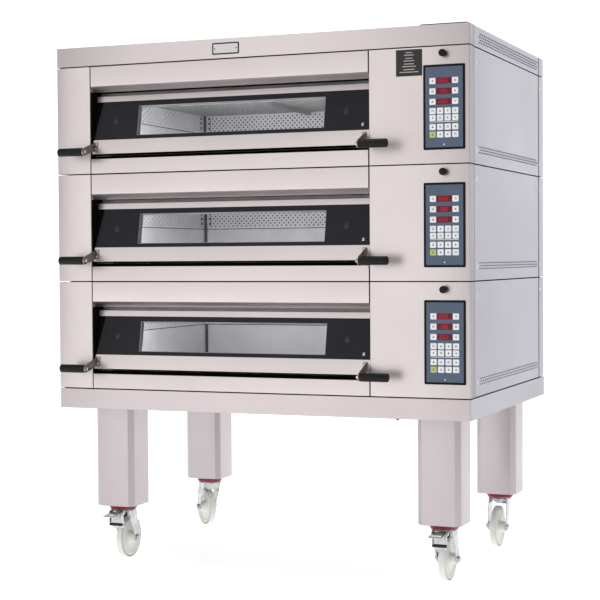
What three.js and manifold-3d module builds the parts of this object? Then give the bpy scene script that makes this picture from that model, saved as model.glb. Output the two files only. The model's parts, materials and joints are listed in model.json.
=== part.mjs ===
// A three-deck bakery oven on a castered stand.
// Millimetres, +Z up, front towards -Y. The origin is at floor level, in the middle of the plan.

import * as THREE from "three";
import { mergeVertices, toCreasedNormals } from "three/addons/utils/BufferGeometryUtils.js";
import Module from "manifold-3d";

const wasm = await Module();
wasm.setup();

// ---------------------------------------------------------------- driving dimensions

const WIDTH = 1588;
const DEPTH = 1082;
const DECK_HEIGHT = 397;
const CAP_HEIGHT = 76;
const APRON_HEIGHT = 72;
const STAND_TOP = 674;          // floor to the seam under the lowest deck
const LEG_BOTTOM = 215;         // floor to the underside of the legs
const GAP = 0.3;                // running and resting clearance between pieces
const SHEET = 3;                // casing sheet
const PANEL = 2;                // front panels' sheet
const SEAM = 2;                 // half of the shadow line between two stacked modules
const SEAM_INSET = 12;          // how far the shadow line goes in
const SIDE_INSET = 2;           // side panels lie this far inside the front corners

const LEFT_POST = 139;          // width of the left post
const COLUMN_X = 1230;          // left edge of the control column
const CORNER_FLANGE = 51;       // how far the front frame wraps round onto the sides
const RECESS_DEPTH = 90;        // depth of the recess that the door stands in
const LOWER_PANEL_TOP = 55.6;
const HEADER_BOTTOM = 323;      // lower edge of the header's upright face
const LIP_BOTTOM = 303;
const LIP_BACK = 30;
const PANEL_JOINT = 3;          // upright gap at the ends of the header and lower panel

const DOOR_BOTTOM = { y: 5, z: 74 };
const DOOR_TOP = { y: 47, z: 290.5 };
const DOOR_THICKNESS = 26;
const DOOR_LEFT = 144;
const DOOR_RIGHT = 1226.5;
const WINDOW = { x0: 321, x1: 1060, z0: 140, z1: 250 };
const LOWER_STRIP_TOP = 126;
const UPPER_STRIP_BOTTOM = 268;

const CHAMBER = { x0: 205, x1: 1165, back: 847, floor: 40, ceiling: 298 };
const HEARTH_TOP = 80;
const HEARTH_THICKNESS = 18;
const GUARD_BOTTOM = 279;

const LEG = { width: 158, depth: 150, chamfer: 18, wall: 4, footPlate: 6, frontY: 132, rearY: 905 };
const LEG_INSET = { left: 71, right: 77 };
const RAIL = { width: 40, height: 30, fromLeg: 10 };
const REAR_TURN = { left: 48, right: 180 };     // degrees that the rear casters stand turned

const WHEEL_RADIUS = 82;
const CASTER_TRAIL = 40;
const WHEEL_HUB = { radius: 20, cone: 5 };
const WHEEL_WEB = { half: 7, outer: 58 };
const WHEEL_RIM = { half: 12, inner: 64, edge: 4 };
const KINGPIN_RADIUS = 7;
const KINGPIN_NUT = { radius: 12, height: 6.7 };
const AXLE = { radius: 6, headRadius: 10.5, headHeight: 7, threadEnd: 3 };
const SEAL = { radius: 52, height: 14.7 };
const CROWN_RADIUS = 50;
const CROWN_HEIGHT = 11.7;
const ARM = { inner: 34.5, thickness: 4, bossRadius: 16, halfTop: 33 };
const PEDAL = { y: -56, z: 186, halfWidth: 25, pinRadius: 3, tubeRadius: 6, sheet: 4, tread: 62 };
const PEDAL_EAR = { thickness: 3, radius: 8 };

const BACK_OF_GRIP = 54;        // free space between a grip and the front plane
const GRIP = { radius: 15, length: 107, leftZ: 78, rightZ: 72 };
const BRACKET = { thickness: 4, low: 84, high: 118, foot: 24, footSheet: 3, bossRadius: 7, boss: 9 };

const CONTROL = { x0: 1426, x1: 1572, z0: 48, z1: 334, corner: 4, thickness: 3 };
const KNOB = { x: 1499, z: 370, radius: 12.5, rodRadius: 4, travel: 45, front: -28, rodEnd: 150 };
const COVER = { x0: 1412, x1: 1580, y0: 2, y1: 262, height: 4 };

// The door hangs from its top edge and leans: its slope, and the axis that its pins turn on.
const DOOR_RUN = DOOR_TOP.y - DOOR_BOTTOM.y;
const DOOR_RISE = DOOR_TOP.z - DOOR_BOTTOM.z;
const DOOR_SLOPE = DOOR_RUN / DOOR_RISE;
const DOOR_TILT = Math.atan(DOOR_SLOPE);
const DOOR_LENGTH = Math.hypot(DOOR_RISE, DOOR_RUN);
const HINGE_DEPTH = 7;          // from the door's top edge down to its pins
const HINGE = {
  y: DOOR_TOP.y + (DOOR_THICKNESS / 2) * Math.cos(DOOR_TILT) - HINGE_DEPTH * Math.sin(DOOR_TILT),
  z: DOOR_TOP.z - (DOOR_THICKNESS / 2) * Math.sin(DOOR_TILT) - HINGE_DEPTH * Math.cos(DOOR_TILT),
  pinRadius: 4,
};
const DOOR_SKIN = 3;
const FACE_STEP = 2.5;          // the enamelled panel lies this far behind the strips
const GLASS_PANE = { front: 8, thickness: 5 };
const VENT = { count: 5, halfLength: 60, front: 11, back: 16 };

const MOUTH = { top: 277, sealGap: 5, sheet: 3 };
const SILL_BACK = 45;
const CHAMBER_FRONT = 50;       // front of the chamber's box, just behind the sill
const LEDGE = { width: 17, thickness: 4, top: HEARTH_TOP - HEARTH_THICKNESS - GAP };
const ELEMENT = {
  radius: 4.5, upperZ: 290, lowerZ: 50, rows: [200, 380, 560, 740], wallX: CHAMBER.x1 + SHEET,
};
const TERMINAL_PLATE = { thickness: 3, overhang: 30, below: 9, above: 8 };
const REAR_STRIP = { y: DEPTH - 110, width: 3, depth: 1.2 };

// ---------------------------------------------------------------- materials

const finish = (color, roughness, metalness, extra = {}) =>
  new THREE.MeshStandardMaterial({ color, roughness, metalness, ...extra });

const STAINLESS = finish(0xd9d1d0, 0.35, 0.9);
const SIDE_STEEL = finish(0xbebcc8, 0.4, 0.9);
const CHAMBER_STEEL = finish(0xa8a6ac, 0.5, 0.8);
const BLACK_ENAMEL = finish(0x28282d, 0.35, 0.2);
const GRIP_PLASTIC = finish(0x17171a, 0.5, 0);
const GLASS = finish(0x9aa4b0, 0.05, 0, { transparent: true, opacity: 0.35 });
const MEMBRANE = finish(0x4b5f78, 0.5, 0);
const STONE = finish(0xa39a8c, 0.9, 0);
const ELEMENT_STEEL = finish(0x6d675f, 0.5, 0.8);
const ZINC = finish(0xc4c8cc, 0.3, 0.9);
const NYLON = finish(0xe4e0d4, 0.5, 0);

// ---------------------------------------------------------------- solids from profiles

// A geometry as a manifold solid, ready to be joined or cut.
function solid(geometry) {
  const bare = geometry.clone();
  bare.deleteAttribute("normal");
  bare.deleteAttribute("uv");
  const merged = mergeVertices(bare, 1e-4);
  const mesh = new wasm.Mesh({
    numProp: 3,
    vertProperties: merged.attributes.position.array,
    triVerts: new Uint32Array(merged.index.array),
  });
  return new wasm.Manifold(mesh);
}

const join = (...geometries) => geometries.map(solid).reduce((whole, piece) => whole.add(piece));

const cut = (body, ...tools) => tools.reduce((rest, tool) => rest.subtract(solid(tool)), body);

function geometryOf(manifold) {
  const mesh = manifold.getMesh();
  const geometry = new THREE.BufferGeometry();
  geometry.setAttribute("position", new THREE.BufferAttribute(mesh.vertProperties, 3));
  geometry.setIndex(new THREE.BufferAttribute(mesh.triVerts, 1));
  return toCreasedNormals(geometry, THREE.MathUtils.degToRad(30));
}

function shapeOf(points, holes = []) {
  const shape = new THREE.Shape(points.map(([a, b]) => new THREE.Vector2(a, b)));
  shape.holes = holes.map((hole) => new THREE.Path(hole.map(([a, b]) => new THREE.Vector2(a, b))));
  return shape;
}

function prism(shape, depth, curveSegments = 4) {
  return new THREE.ExtrudeGeometry(shape, { depth, bevelEnabled: false, curveSegments });
}

// An outline in (y, z), drawn out from x0 to x1.
function prismX(outline, x0, x1) {
  const shape = outline instanceof THREE.Shape ? outline : shapeOf(outline);
  const turn = new THREE.Matrix4().makeBasis(
    new THREE.Vector3(0, 1, 0),
    new THREE.Vector3(0, 0, 1),
    new THREE.Vector3(1, 0, 0),
  );
  return prism(shape, x1 - x0).applyMatrix4(turn).translate(x0, 0, 0);
}

// An outline in (x, z), drawn out from y0 to y1.
function prismY(outline, y0, y1) {
  const shape = outline instanceof THREE.Shape ? outline : shapeOf(outline);
  return prism(shape, y1 - y0).rotateX(Math.PI / 2).translate(0, y1, 0);
}

// An outline in (x, y), drawn out from z0 to z1.
function prismZ(outline, z0, z1) {
  const shape = outline instanceof THREE.Shape ? outline : shapeOf(outline);
  return prism(shape, z1 - z0).translate(0, 0, z0);
}

function box(x0, x1, y0, y1, z0, z1) {
  const geometry = new THREE.BoxGeometry(x1 - x0, y1 - y0, z1 - z0);
  return geometry.translate((x0 + x1) / 2, (y0 + y1) / 2, (z0 + z1) / 2);
}

function rodX(x0, x1, y, z, radius, sides = 16) {
  const geometry = new THREE.CylinderGeometry(radius, radius, x1 - x0, sides);
  return geometry.rotateZ(Math.PI / 2).translate((x0 + x1) / 2, y, z);
}

function rodY(y0, y1, x, z, radius, sides = 16) {
  return new THREE.CylinderGeometry(radius, radius, y1 - y0, sides).translate(x, (y0 + y1) / 2, z);
}

function rodZ(z0, z1, radius, sides = 20) {
  const geometry = new THREE.CylinderGeometry(radius, radius, z1 - z0, sides);
  return geometry.rotateX(Math.PI / 2).translate(0, 0, (z0 + z1) / 2);
}

function part(name, shape, material) {
  const geometry = shape instanceof THREE.BufferGeometry ? shape : geometryOf(shape);
  const mesh = new THREE.Mesh(geometry, material);
  mesh.name = name;
  return mesh;
}

// ---------------------------------------------------------------- stand

// An inverted tray with two rails under it, and a raised plate that carries the lowest deck.
function baseFrame() {
  const top = STAND_TOP - SEAM;
  const apronBottom = top - APRON_HEIGHT;
  const railInset = LEG_INSET.right + LEG.width + RAIL.fromLeg;
  const rail = (x) =>
    box(x, x + RAIL.width, SHEET / 2, DEPTH - SHEET / 2, top - RAIL.height, top - 1);
  const tray = cut(
    solid(box(0, WIDTH, 0, DEPTH, apronBottom, top)),
    box(SHEET, WIDTH - SHEET, SHEET, DEPTH - SHEET, apronBottom - 1, top - SHEET),
  );
  const plate = box(
    SEAM_INSET, WIDTH - SEAM_INSET, SEAM_INSET, DEPTH - SEAM_INSET, top - 1, STAND_TOP - GAP,
  );
  return tray.add(join(rail(railInset), rail(WIDTH - railInset - RAIL.width), plate));
}

function legOutline(inset) {
  const a = LEG.width / 2 - inset;
  const b = LEG.depth / 2 - inset;
  const c = LEG.chamfer - inset * 0.6;
  return [
    [-a + c, -b], [a - c, -b], [a, -b + c], [a, b - c],
    [a - c, b], [-a + c, b], [-a, b - c], [-a, -b + c],
  ];
}

const SEAL_BOTTOM = LEG_BOTTOM - SEAL.height;
const CROWN_TOP = SEAL_BOTTOM - GAP;
const CROWN_BOTTOM = CROWN_TOP - CROWN_HEIGHT;

// A chamfered square tube with a foot plate, the fixed bearing ring and the kingpin of its caster.
function leg() {
  const legTop = STAND_TOP - SEAM - SHEET - GAP;
  const nutTop = CROWN_BOTTOM - GAP;
  const nutBottom = nutTop - KINGPIN_NUT.height;
  const tube = cut(
    solid(prismZ(legOutline(0), LEG_BOTTOM, legTop)),
    prismZ(legOutline(LEG.wall), LEG_BOTTOM + LEG.footPlate, legTop + 1),
  );
  const ring = rodZ(SEAL_BOTTOM, LEG_BOTTOM + 1, SEAL.radius);
  const kingpin = rodZ(nutBottom, LEG_BOTTOM + 1, KINGPIN_RADIUS, 12);
  const nut = rodZ(nutBottom, nutTop, KINGPIN_NUT.radius, 6);
  return tube.add(join(ring, kingpin, nut));
}

// ---------------------------------------------------------------- casters
// Each caster is drawn round its swivel axis at floor level, with the wheel trailing to +Y.

const ARM_OUTER = ARM.inner + ARM.thickness;
const ARM_TOP = CROWN_TOP - 4;

function forkArm(side) {
  const outline = new THREE.Shape();
  outline.moveTo(-ARM.halfTop, ARM_TOP);
  outline.lineTo(CASTER_TRAIL - ARM.bossRadius, WHEEL_RADIUS);
  outline.absarc(CASTER_TRAIL, WHEEL_RADIUS, ARM.bossRadius, Math.PI, 2 * Math.PI, false);
  outline.lineTo(ARM.halfTop, ARM_TOP);
  const x0 = side < 0 ? -ARM_OUTER : ARM.inner;
  return prismX(outline, x0, x0 + ARM.thickness);
}

// An ear on the crown that carries one end of the brake pedal's pin.
function pedalEar(side) {
  const root = -CROWN_RADIUS + 16;
  const outline = new THREE.Shape();
  outline.moveTo(root, CROWN_TOP - 1);
  outline.lineTo(PEDAL.y, CROWN_TOP - 1);
  outline.absarc(PEDAL.y, PEDAL.z, PEDAL_EAR.radius, Math.PI / 2, 1.5 * Math.PI, false);
  outline.lineTo(root, CROWN_BOTTOM);
  const inner = PEDAL.halfWidth + 1;
  const x0 = side < 0 ? -inner - PEDAL_EAR.thickness : inner;
  return prismX(outline, x0, x0 + PEDAL_EAR.thickness);
}

function casterFork(braked) {
  const pieces = [rodZ(CROWN_BOTTOM, CROWN_TOP, CROWN_RADIUS), forkArm(-1), forkArm(1)];
  const tools = [
    rodZ(CROWN_BOTTOM - 1, CROWN_TOP + 1, KINGPIN_RADIUS + 2 * GAP, 12),
    rodX(-ARM_OUTER - 1, ARM_OUTER + 1, CASTER_TRAIL, WHEEL_RADIUS, AXLE.radius + GAP),
  ];
  if (braked) {
    pieces.push(pedalEar(-1), pedalEar(1));
    tools.push(rodX(-ARM.inner, ARM.inner, PEDAL.y, PEDAL.z, PEDAL.pinRadius + GAP, 10));
  }
  return cut(join(...pieces), ...tools);
}

function casterAxle() {
  const inner = ARM_OUTER + GAP;
  const outer = inner + AXLE.headHeight;
  const rod = (x0, x1, radius, sides) => rodX(x0, x1, CASTER_TRAIL, WHEEL_RADIUS, radius, sides);
  return join(
    rod(-outer, outer + AXLE.threadEnd, AXLE.radius),
    rod(-outer, -inner, AXLE.headRadius, 6),
    rod(inner, outer, AXLE.headRadius, 6),
  );
}

// Turned section: a long hub, a thin web and a wide rim with rounded edges.
function casterWheel() {
  const hubHalf = ARM.inner - 1;
  const side = [
    [AXLE.radius + GAP, hubHalf],
    [WHEEL_HUB.radius, hubHalf],
    [WHEEL_HUB.radius + WHEEL_HUB.cone, WHEEL_WEB.half],
    [WHEEL_WEB.outer, WHEEL_WEB.half],
    [WHEEL_RIM.inner, WHEEL_RIM.half],
    [WHEEL_RADIUS - WHEEL_RIM.edge, WHEEL_RIM.half],
    [WHEEL_RADIUS, WHEEL_RIM.half - WHEEL_RIM.edge],
  ];
  const otherSide = side.map(([radius, x]) => [radius, -x]);
  const section = [...otherSide, ...side.reverse(), otherSide[0]];
  const outline = section.map(([radius, x]) => new THREE.Vector2(radius, x));
  const wheel = new THREE.LatheGeometry(outline, 32);
  return solid(wheel.rotateZ(Math.PI / 2).translate(0, CASTER_TRAIL, WHEEL_RADIUS));
}

// A folded pedal: the tread in front, the brake shoe hanging below the pin, and the pin itself.
function brakePedal() {
  const { y, z, halfWidth, sheet } = PEDAL;
  const tip = y - PEDAL.tread;
  const bend = y - PEDAL.tread / 2;
  const tread = [
    [y + 4, z + 5], [bend, z + 1], [tip, z - 3], [tip, z - 3 - sheet], [bend, z + 1 - sheet],
    [y + 4, z + 5 - sheet],
  ];
  const shoe = { back: y + 20, top: z - 46, bottom: z - 58 };
  const pad = { front: y - 8, top: z - 37, bottom: z - 47 };
  const hanger = [
    [y - 4, z], [pad.front, pad.top], [pad.front, pad.bottom], [y + 2, pad.bottom],
    [y + 2, shoe.bottom], [shoe.back, shoe.bottom], [shoe.back, shoe.top], [y + 7, shoe.top],
    [y + 2, z],
  ];
  const pinEnd = halfWidth + 1 + PEDAL_EAR.thickness + 1;
  return join(
    prismX(tread, -halfWidth, halfWidth),
    prismX(hanger, -halfWidth, halfWidth),
    rodX(-halfWidth, halfWidth, y, z, PEDAL.tubeRadius, 12),
    rodX(-pinEnd, pinEnd, y, z, PEDAL.pinRadius, 10),
  );
}

// ---------------------------------------------------------------- deck shells
// A deck is drawn from its own lower seam (z = 0) up to the next one (z = DECK_HEIGHT).

// Sheet box, open at the front, with a joint line where the rear corner strip starts.
// Its top and bottom sheets begin behind the door's recess.
function outerCasing() {
  const x0 = SIDE_INSET;
  const x1 = WIDTH - SIDE_INSET;
  const y0 = CORNER_FLANGE + GAP;
  const z0 = SEAM;
  const z1 = DECK_HEIGHT - SEAM;
  const jointEnd = REAR_STRIP.y + REAR_STRIP.width;
  const joint = (x) => box(x, x + REAR_STRIP.depth, REAR_STRIP.y, jointEnd, z0 - 1, z1 + 1);
  const seat = (low, high) =>
    box(SEAM_INSET, WIDTH - SEAM_INSET, y0 + SEAM_INSET, DEPTH - SEAM_INSET, low, high);
  const shell = join(
    box(x0, x1, y0, DEPTH, z0, z1),
    seat(0, z0 + 1),
    seat(z1 - 1, DECK_HEIGHT - GAP),
  );
  return cut(
    shell,
    box(x0 + SHEET, x1 - SHEET, y0 - 1, DEPTH - SHEET, z0 + SHEET, z1 - SHEET),
    box(x0 + SHEET, x1 - SHEET, y0 - 1, RECESS_DEPTH + GAP, -1, DECK_HEIGHT + 1),
    joint(x0),
    joint(x1 - REAR_STRIP.depth),
  );
}

// Left post, control column, lower panel and sill, and the cross rail behind the header.
function frontFrame() {
  const z0 = SEAM;
  const z1 = DECK_HEIGHT - SEAM;
  const wall = PANEL + 0.5;
  const post = (outer, inner) => {
    const side = Math.sign(inner - outer);
    return [
      [outer, 0], [inner, 0], [inner, RECESS_DEPTH], [inner - side * wall, RECESS_DEPTH],
      [inner - side * wall, PANEL], [outer + side * PANEL, PANEL],
      [outer + side * PANEL, CORNER_FLANGE], [outer, CORNER_FLANGE],
    ];
  };
  const jointDepth = 6;
  const left = LEFT_POST + PANEL_JOINT;
  const right = COLUMN_X - PANEL_JOINT;
  const panelTop = LOWER_PANEL_TOP;
  const rodHole = rodY(-1, PANEL + 1, KNOB.x, KNOB.z, KNOB.rodRadius + GAP, 12);
  const pinHole = rodX(LEFT_POST - 10, COLUMN_X + 10, HINGE.y, HINGE.z, HINGE.pinRadius + GAP, 12);
  const frame = join(
    prismZ(post(0, LEFT_POST), z0, z1),
    prismZ(post(WIDTH, COLUMN_X).reverse(), z0, z1),
    box(left, right, 0, PANEL, z0, panelTop - 1),
    box(left, right, 0, jointDepth + 1, panelTop - PANEL, panelTop),
    box(LEFT_POST - 1, COLUMN_X + 1, jointDepth, SILL_BACK, panelTop - PANEL, panelTop),
    box(LEFT_POST - 1, COLUMN_X + 1, RECESS_DEPTH - 4, RECESS_DEPTH, LIP_BOTTOM, z1),
  );
  return cut(frame, rodHole, pinHole);
}

// A box section with a sloping lip over the door, open at both ends.
function headerPanel() {
  const z1 = DECK_HEIGHT - SEAM;
  const back = RECESS_DEPTH - 4 - GAP;
  const lip = LIP_BOTTOM + GAP;
  const outline = [[0, HEADER_BOTTOM], [LIP_BACK, lip], [back, lip], [back, z1], [0, z1]];
  const inside = [
    [PANEL, HEADER_BOTTOM + 1], [PANEL, z1 - PANEL], [back - PANEL, z1 - PANEL],
    [back - PANEL, lip + PANEL], [LIP_BACK + 0.6, lip + PANEL],
  ];
  return prismX(shapeOf(outline, [inside]), LEFT_POST + PANEL_JOINT, COLUMN_X - PANEL_JOINT);
}

function roundedRectangle(x0, x1, y0, y1, radius) {
  const shape = new THREE.Shape();
  shape.absarc(x1 - radius, y0 + radius, radius, -Math.PI / 2, 0, false);
  shape.absarc(x1 - radius, y1 - radius, radius, 0, Math.PI / 2, false);
  shape.absarc(x0 + radius, y1 - radius, radius, Math.PI / 2, Math.PI, false);
  shape.absarc(x0 + radius, y0 + radius, radius, Math.PI, 1.5 * Math.PI, false);
  return shape;
}

function controlPanel() {
  const outline = roundedRectangle(CONTROL.x0, CONTROL.x1, CONTROL.z0, CONTROL.z1, CONTROL.corner);
  return prismY(outline, -CONTROL.thickness - GAP, -GAP);
}

// ---------------------------------------------------------------- damper knob

// A turned knob on a rod; the collar behind the panel stops it when it is pulled.
function damperKnob() {
  const { radius: r, rodRadius: rod, front, rodEnd } = KNOB;
  const edge = 2;
  const neck = { radius: 7, front: front + 19, back: -3 };
  const collar = { radius: 9, front: PANEL + KNOB.travel, back: PANEL + KNOB.travel + 4 };
  const profile = [
    [0, front], [r - edge, front], [r, front + edge], [r, neck.front - 1 - edge],
    [r - edge, neck.front - 1], [neck.radius, neck.front], [neck.radius - 1, neck.back],
    [rod, neck.back], [rod, collar.front], [collar.radius, collar.front],
    [collar.radius, collar.back], [rod, collar.back], [rod, rodEnd], [0, rodEnd],
  ];
  const outline = profile.map(([radius, y]) => new THREE.Vector2(radius, y));
  return solid(new THREE.LatheGeometry(outline, 16).translate(KNOB.x, 0, KNOB.z));
}

// ---------------------------------------------------------------- baking chamber

// Where the closed door has its front face, at a given height.
const doorFace = (z) => DOOR_BOTTOM.y + (z - DOOR_BOTTOM.z) * DOOR_SLOPE;

// Where the tilted plate round the chamber's mouth has its front face, at a given height.
function mouthFront(z) {
  return doorFace(z) + (DOOR_THICKNESS + MOUTH.sealGap) / Math.cos(DOOR_TILT);
}

const mouthBack = (z) => mouthFront(z) + MOUTH.sheet / Math.cos(DOOR_TILT);

// A sheet box behind a tilted mouth plate, with ledges for the hearth and slots for the elements.
function bakingChamber() {
  const { x0, x1, back, floor, ceiling } = CHAMBER;
  const plateZ0 = LOWER_PANEL_TOP + 2 * GAP;
  const plateZ1 = LIP_BOTTOM - GAP;
  const top = ceiling + SHEET;
  const front = CHAMBER_FRONT;
  const stepZ = plateZ0 + 1;
  const plate = [
    [mouthFront(plateZ0), plateZ0], [mouthBack(plateZ0), plateZ0],
    [mouthBack(plateZ1), plateZ1], [mouthFront(plateZ1), plateZ1],
  ];
  const block = [
    [front, floor - SHEET], [back + SHEET, floor - SHEET], [back + SHEET, top],
    [mouthFront(top) + 1, top], [mouthFront(stepZ) + 1, stepZ], [front, stepZ],
  ];
  const cavity = [
    [front + SHEET, floor], [back, floor], [back, ceiling], [mouthBack(ceiling), ceiling],
    [mouthBack(MOUTH.top), MOUTH.top], [0, MOUTH.top], [0, LEDGE.top], [front + SHEET, LEDGE.top],
  ];
  const ledge = (low, high) =>
    box(low, high, front + 1, back + 1, LEDGE.top - LEDGE.thickness, LEDGE.top);
  const slotY = [ELEMENT.rows[0] - 20, ELEMENT.rows.at(-1) + 20];
  const slot = (z) => box(x1 - 1, x1 + SHEET + 1, ...slotY, z - 7, z + 7);
  const shell = cut(
    join(
      prismX(plate, LEFT_POST + PANEL_JOINT, COLUMN_X - PANEL_JOINT),
      prismX(block, x0 - SHEET, x1 + SHEET),
    ),
    prismX(cavity, x0, x1),
  );
  const withLedges = shell.add(join(ledge(x0 - 1, x0 + LEDGE.width), ledge(x1 - LEDGE.width, x1 + 1)));
  return cut(withLedges, slot(ELEMENT.upperZ), slot(ELEMENT.lowerZ));
}

function hearthStone() {
  return box(
    CHAMBER.x0 + 2 * GAP, CHAMBER.x1 - 2 * GAP, mouthBack(HEARTH_TOP) + 3, CHAMBER.back - GAP,
    LEDGE.top + GAP, HEARTH_TOP,
  );
}

// A tray hung under the ceiling by its front and rear flanges; the elements lie above it.
function elementGuard() {
  const front = mouthBack(CHAMBER.ceiling) + 2;
  const back = CHAMBER.back - GAP;
  const flangeTop = CHAMBER.ceiling - GAP;
  const outline = [
    [front, GUARD_BOTTOM], [back, GUARD_BOTTOM], [back, flangeTop], [back - PANEL, flangeTop],
    [back - PANEL, GUARD_BOTTOM + PANEL], [front + PANEL, GUARD_BOTTOM + PANEL],
    [front + PANEL, flangeTop], [front, flangeTop],
  ];
  return prismX(outline, CHAMBER.x0 + 2 * GAP, CHAMBER.x1 - 2 * GAP);
}

// Sheathed rods above the guard and under the hearth, on one terminal plate outside the chamber.
function heatingElements() {
  const { radius, upperZ, lowerZ, rows, wallX } = ELEMENT;
  const { thickness, overhang, below, above } = TERMINAL_PLATE;
  const plateX = wallX + GAP;
  const farEnd = CHAMBER.x0 + 8;
  const tie = { width: 4, half: 4, overhang: 10 };
  const terminalEnd = plateX + 15;
  const pieces = [
    box(
      plateX, plateX + thickness, rows[0] - overhang, rows.at(-1) + overhang,
      lowerZ - below, upperZ + above,
    ),
  ];
  for (const z of [upperZ, lowerZ]) {
    pieces.push(box(
      farEnd, farEnd + tie.width, rows[0] - tie.overhang, rows.at(-1) + tie.overhang,
      z - tie.half, z + tie.half,
    ));
    for (const y of rows) {
      pieces.push(rodX(farEnd + 1, terminalEnd, y, z, radius, 8));
    }
  }
  return join(...pieces);
}

// ---------------------------------------------------------------- door
// The door is drawn flat, hanging from its upper front edge: u runs down its face from 0 at the top,
// v runs back from its front face. It is then tilted into place.

// How far down the face a given height lies.
const along = (z) => (DOOR_TOP.z - z) / Math.cos(DOOR_TILT);

function tiltIntoPlace(geometry) {
  return geometry.rotateX(-DOOR_TILT).translate(0, DOOR_TOP.y, DOOR_TOP.z);
}

// A box given along the door: x across, u down the face, v back from the face.
const doorBox = (x0, x1, u0, u1, v0, v1) => tiltIntoPlace(box(x0, x1, v0, v1, -u1, -u0));

// Two steel strips with an enamelled panel between them, hollow inside and open through vent slots.
function doorPanel() {
  const u0 = along(WINDOW.z1);
  const u1 = along(WINDOW.z0);
  const faceU = [along(UPPER_STRIP_BOTTOM), along(LOWER_STRIP_TOP)];
  const hole = (margin, v0, v1) =>
    doorBox(WINDOW.x0 - margin, WINDOW.x1 + margin, u0 - margin, u1 + margin, v0, v1);
  const leaf = cut(
    solid(doorBox(DOOR_LEFT, DOOR_RIGHT, 0, DOOR_LENGTH, 0, DOOR_THICKNESS)),
    doorBox(DOOR_LEFT - 1, DOOR_RIGHT + 1, ...faceU, -1, FACE_STEP),
  );
  const inside = cut(
    solid(doorBox(
      DOOR_LEFT + DOOR_SKIN, DOOR_RIGHT - DOOR_SKIN, 2 * HINGE_DEPTH + 2, DOOR_LENGTH - DOOR_SKIN,
      FACE_STEP + DOOR_SKIN, DOOR_THICKNESS - DOOR_SKIN,
    )),
    hole(DOOR_SKIN, 0, DOOR_THICKNESS),
  );
  const ventPitch = (DOOR_RIGHT - DOOR_LEFT) / VENT.count;
  const ventU = [DOOR_LENGTH - DOOR_SKIN - 2, DOOR_LENGTH + 1];
  const vents = Array.from({ length: VENT.count }, (_, i) => {
    const x = DOOR_LEFT + (i + 0.5) * ventPitch;
    return doorBox(x - VENT.halfLength, x + VENT.halfLength, ...ventU, VENT.front, VENT.back);
  });
  const pin = (x0, x1) => rodX(x0, x1, HINGE.y, HINGE.z, HINGE.pinRadius, 12);
  const hollow = cut(leaf.subtract(inside), hole(0, -1, DOOR_THICKNESS + 1), ...vents);
  return hollow.add(join(pin(LEFT_POST - 4, DOOR_LEFT + 1), pin(DOOR_RIGHT - 1, COLUMN_X + 4)));
}

function doorGlass() {
  const pane = GLASS_PANE;
  return doorBox(
    WINDOW.x0 + GAP, WINDOW.x1 - GAP, along(WINDOW.z1) + GAP, along(WINDOW.z0) - GAP,
    pane.front, pane.front + pane.thickness,
  );
}

// A flat bracket standing out from the lower strip, with a round grip pointing outwards.
function handle(side) {
  const { thickness, low, high, foot: footLength, footSheet, bossRadius, boss } = BRACKET;
  const bracketX = side < 0 ? DOOR_LEFT + thickness : DOOR_RIGHT - 18;
  const gripY = -(BACK_OF_GRIP + GRIP.radius);
  const faceAt = (z) => doorFace(z) - GAP;
  const gripZ = side < 0 ? GRIP.leftZ : GRIP.rightZ;
  const cheekRadius = GRIP.radius - 1;
  const cheek = new THREE.Shape();
  cheek.moveTo(faceAt(high), high);
  cheek.lineTo(gripY + 4, gripZ + cheekRadius);
  cheek.absarc(gripY, gripZ, cheekRadius, Math.PI / 2, 1.5 * Math.PI, false);
  cheek.lineTo(faceAt(low), low);
  const foot = [
    [faceAt(low), low], [faceAt(high), high],
    [faceAt(high) - footSheet, high], [faceAt(low) - footSheet, low],
  ];
  const footInner = side < 0 ? bracketX + thickness + footLength : bracketX - footLength;
  const gripInner = side < 0 ? bracketX + 1 : bracketX + thickness - 1;
  const bossInner = side < 0 ? bracketX + thickness - 1 : bracketX + 1;
  const ordered = (a, b) => [Math.min(a, b), Math.max(a, b)];
  return join(
    prismX(cheek, bracketX, bracketX + thickness),
    prismX(foot, ...ordered(footInner, bracketX + thickness / 2)),
    rodX(...ordered(gripInner, gripInner + side * GRIP.length), gripY, gripZ, GRIP.radius, 20),
    rodX(...ordered(bossInner, bossInner - side * boss), gripY, gripZ, bossRadius, 12),
  );
}

// ---------------------------------------------------------------- roof

// A shallow cap with the same corner flange and seam as the decks.
function topCap() {
  const top = CAP_HEIGHT - COVER.height;
  const y1 = CORNER_FLANGE;
  const shell = join(
    box(0, WIDTH, 0, y1, SEAM, top),
    box(SIDE_INSET, WIDTH - SIDE_INSET, y1 - 1, DEPTH, SEAM, top),
  );
  const inner = cut(
    shell,
    box(SIDE_INSET + SHEET, WIDTH - SIDE_INSET - SHEET, SHEET, DEPTH - SHEET, 0, top - SHEET),
  );
  const seatFront = y1 + SEAM_INSET;
  const seat = cut(
    solid(box(SEAM_INSET, WIDTH - SEAM_INSET, seatFront, DEPTH - SEAM_INSET, 0, top - 1)),
    box(
      SEAM_INSET + SHEET, WIDTH - SEAM_INSET - SHEET,
      seatFront + SHEET, DEPTH - SEAM_INSET - SHEET, -1, top,
    ),
  );
  return inner.add(seat);
}

// The low plate over the cable entry.
function roofCover() {
  const bottom = CAP_HEIGHT - COVER.height + GAP;
  return box(COVER.x0, COVER.x1, COVER.y0, COVER.y1, bottom, CAP_HEIGHT);
}

// ---------------------------------------------------------------- assembly

const oven = new THREE.Group();
const frontmost = -(BACK_OF_GRIP + 2 * GRIP.radius);
oven.position.set(-WIDTH / 2, -(DEPTH + frontmost) / 2, 0);

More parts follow.
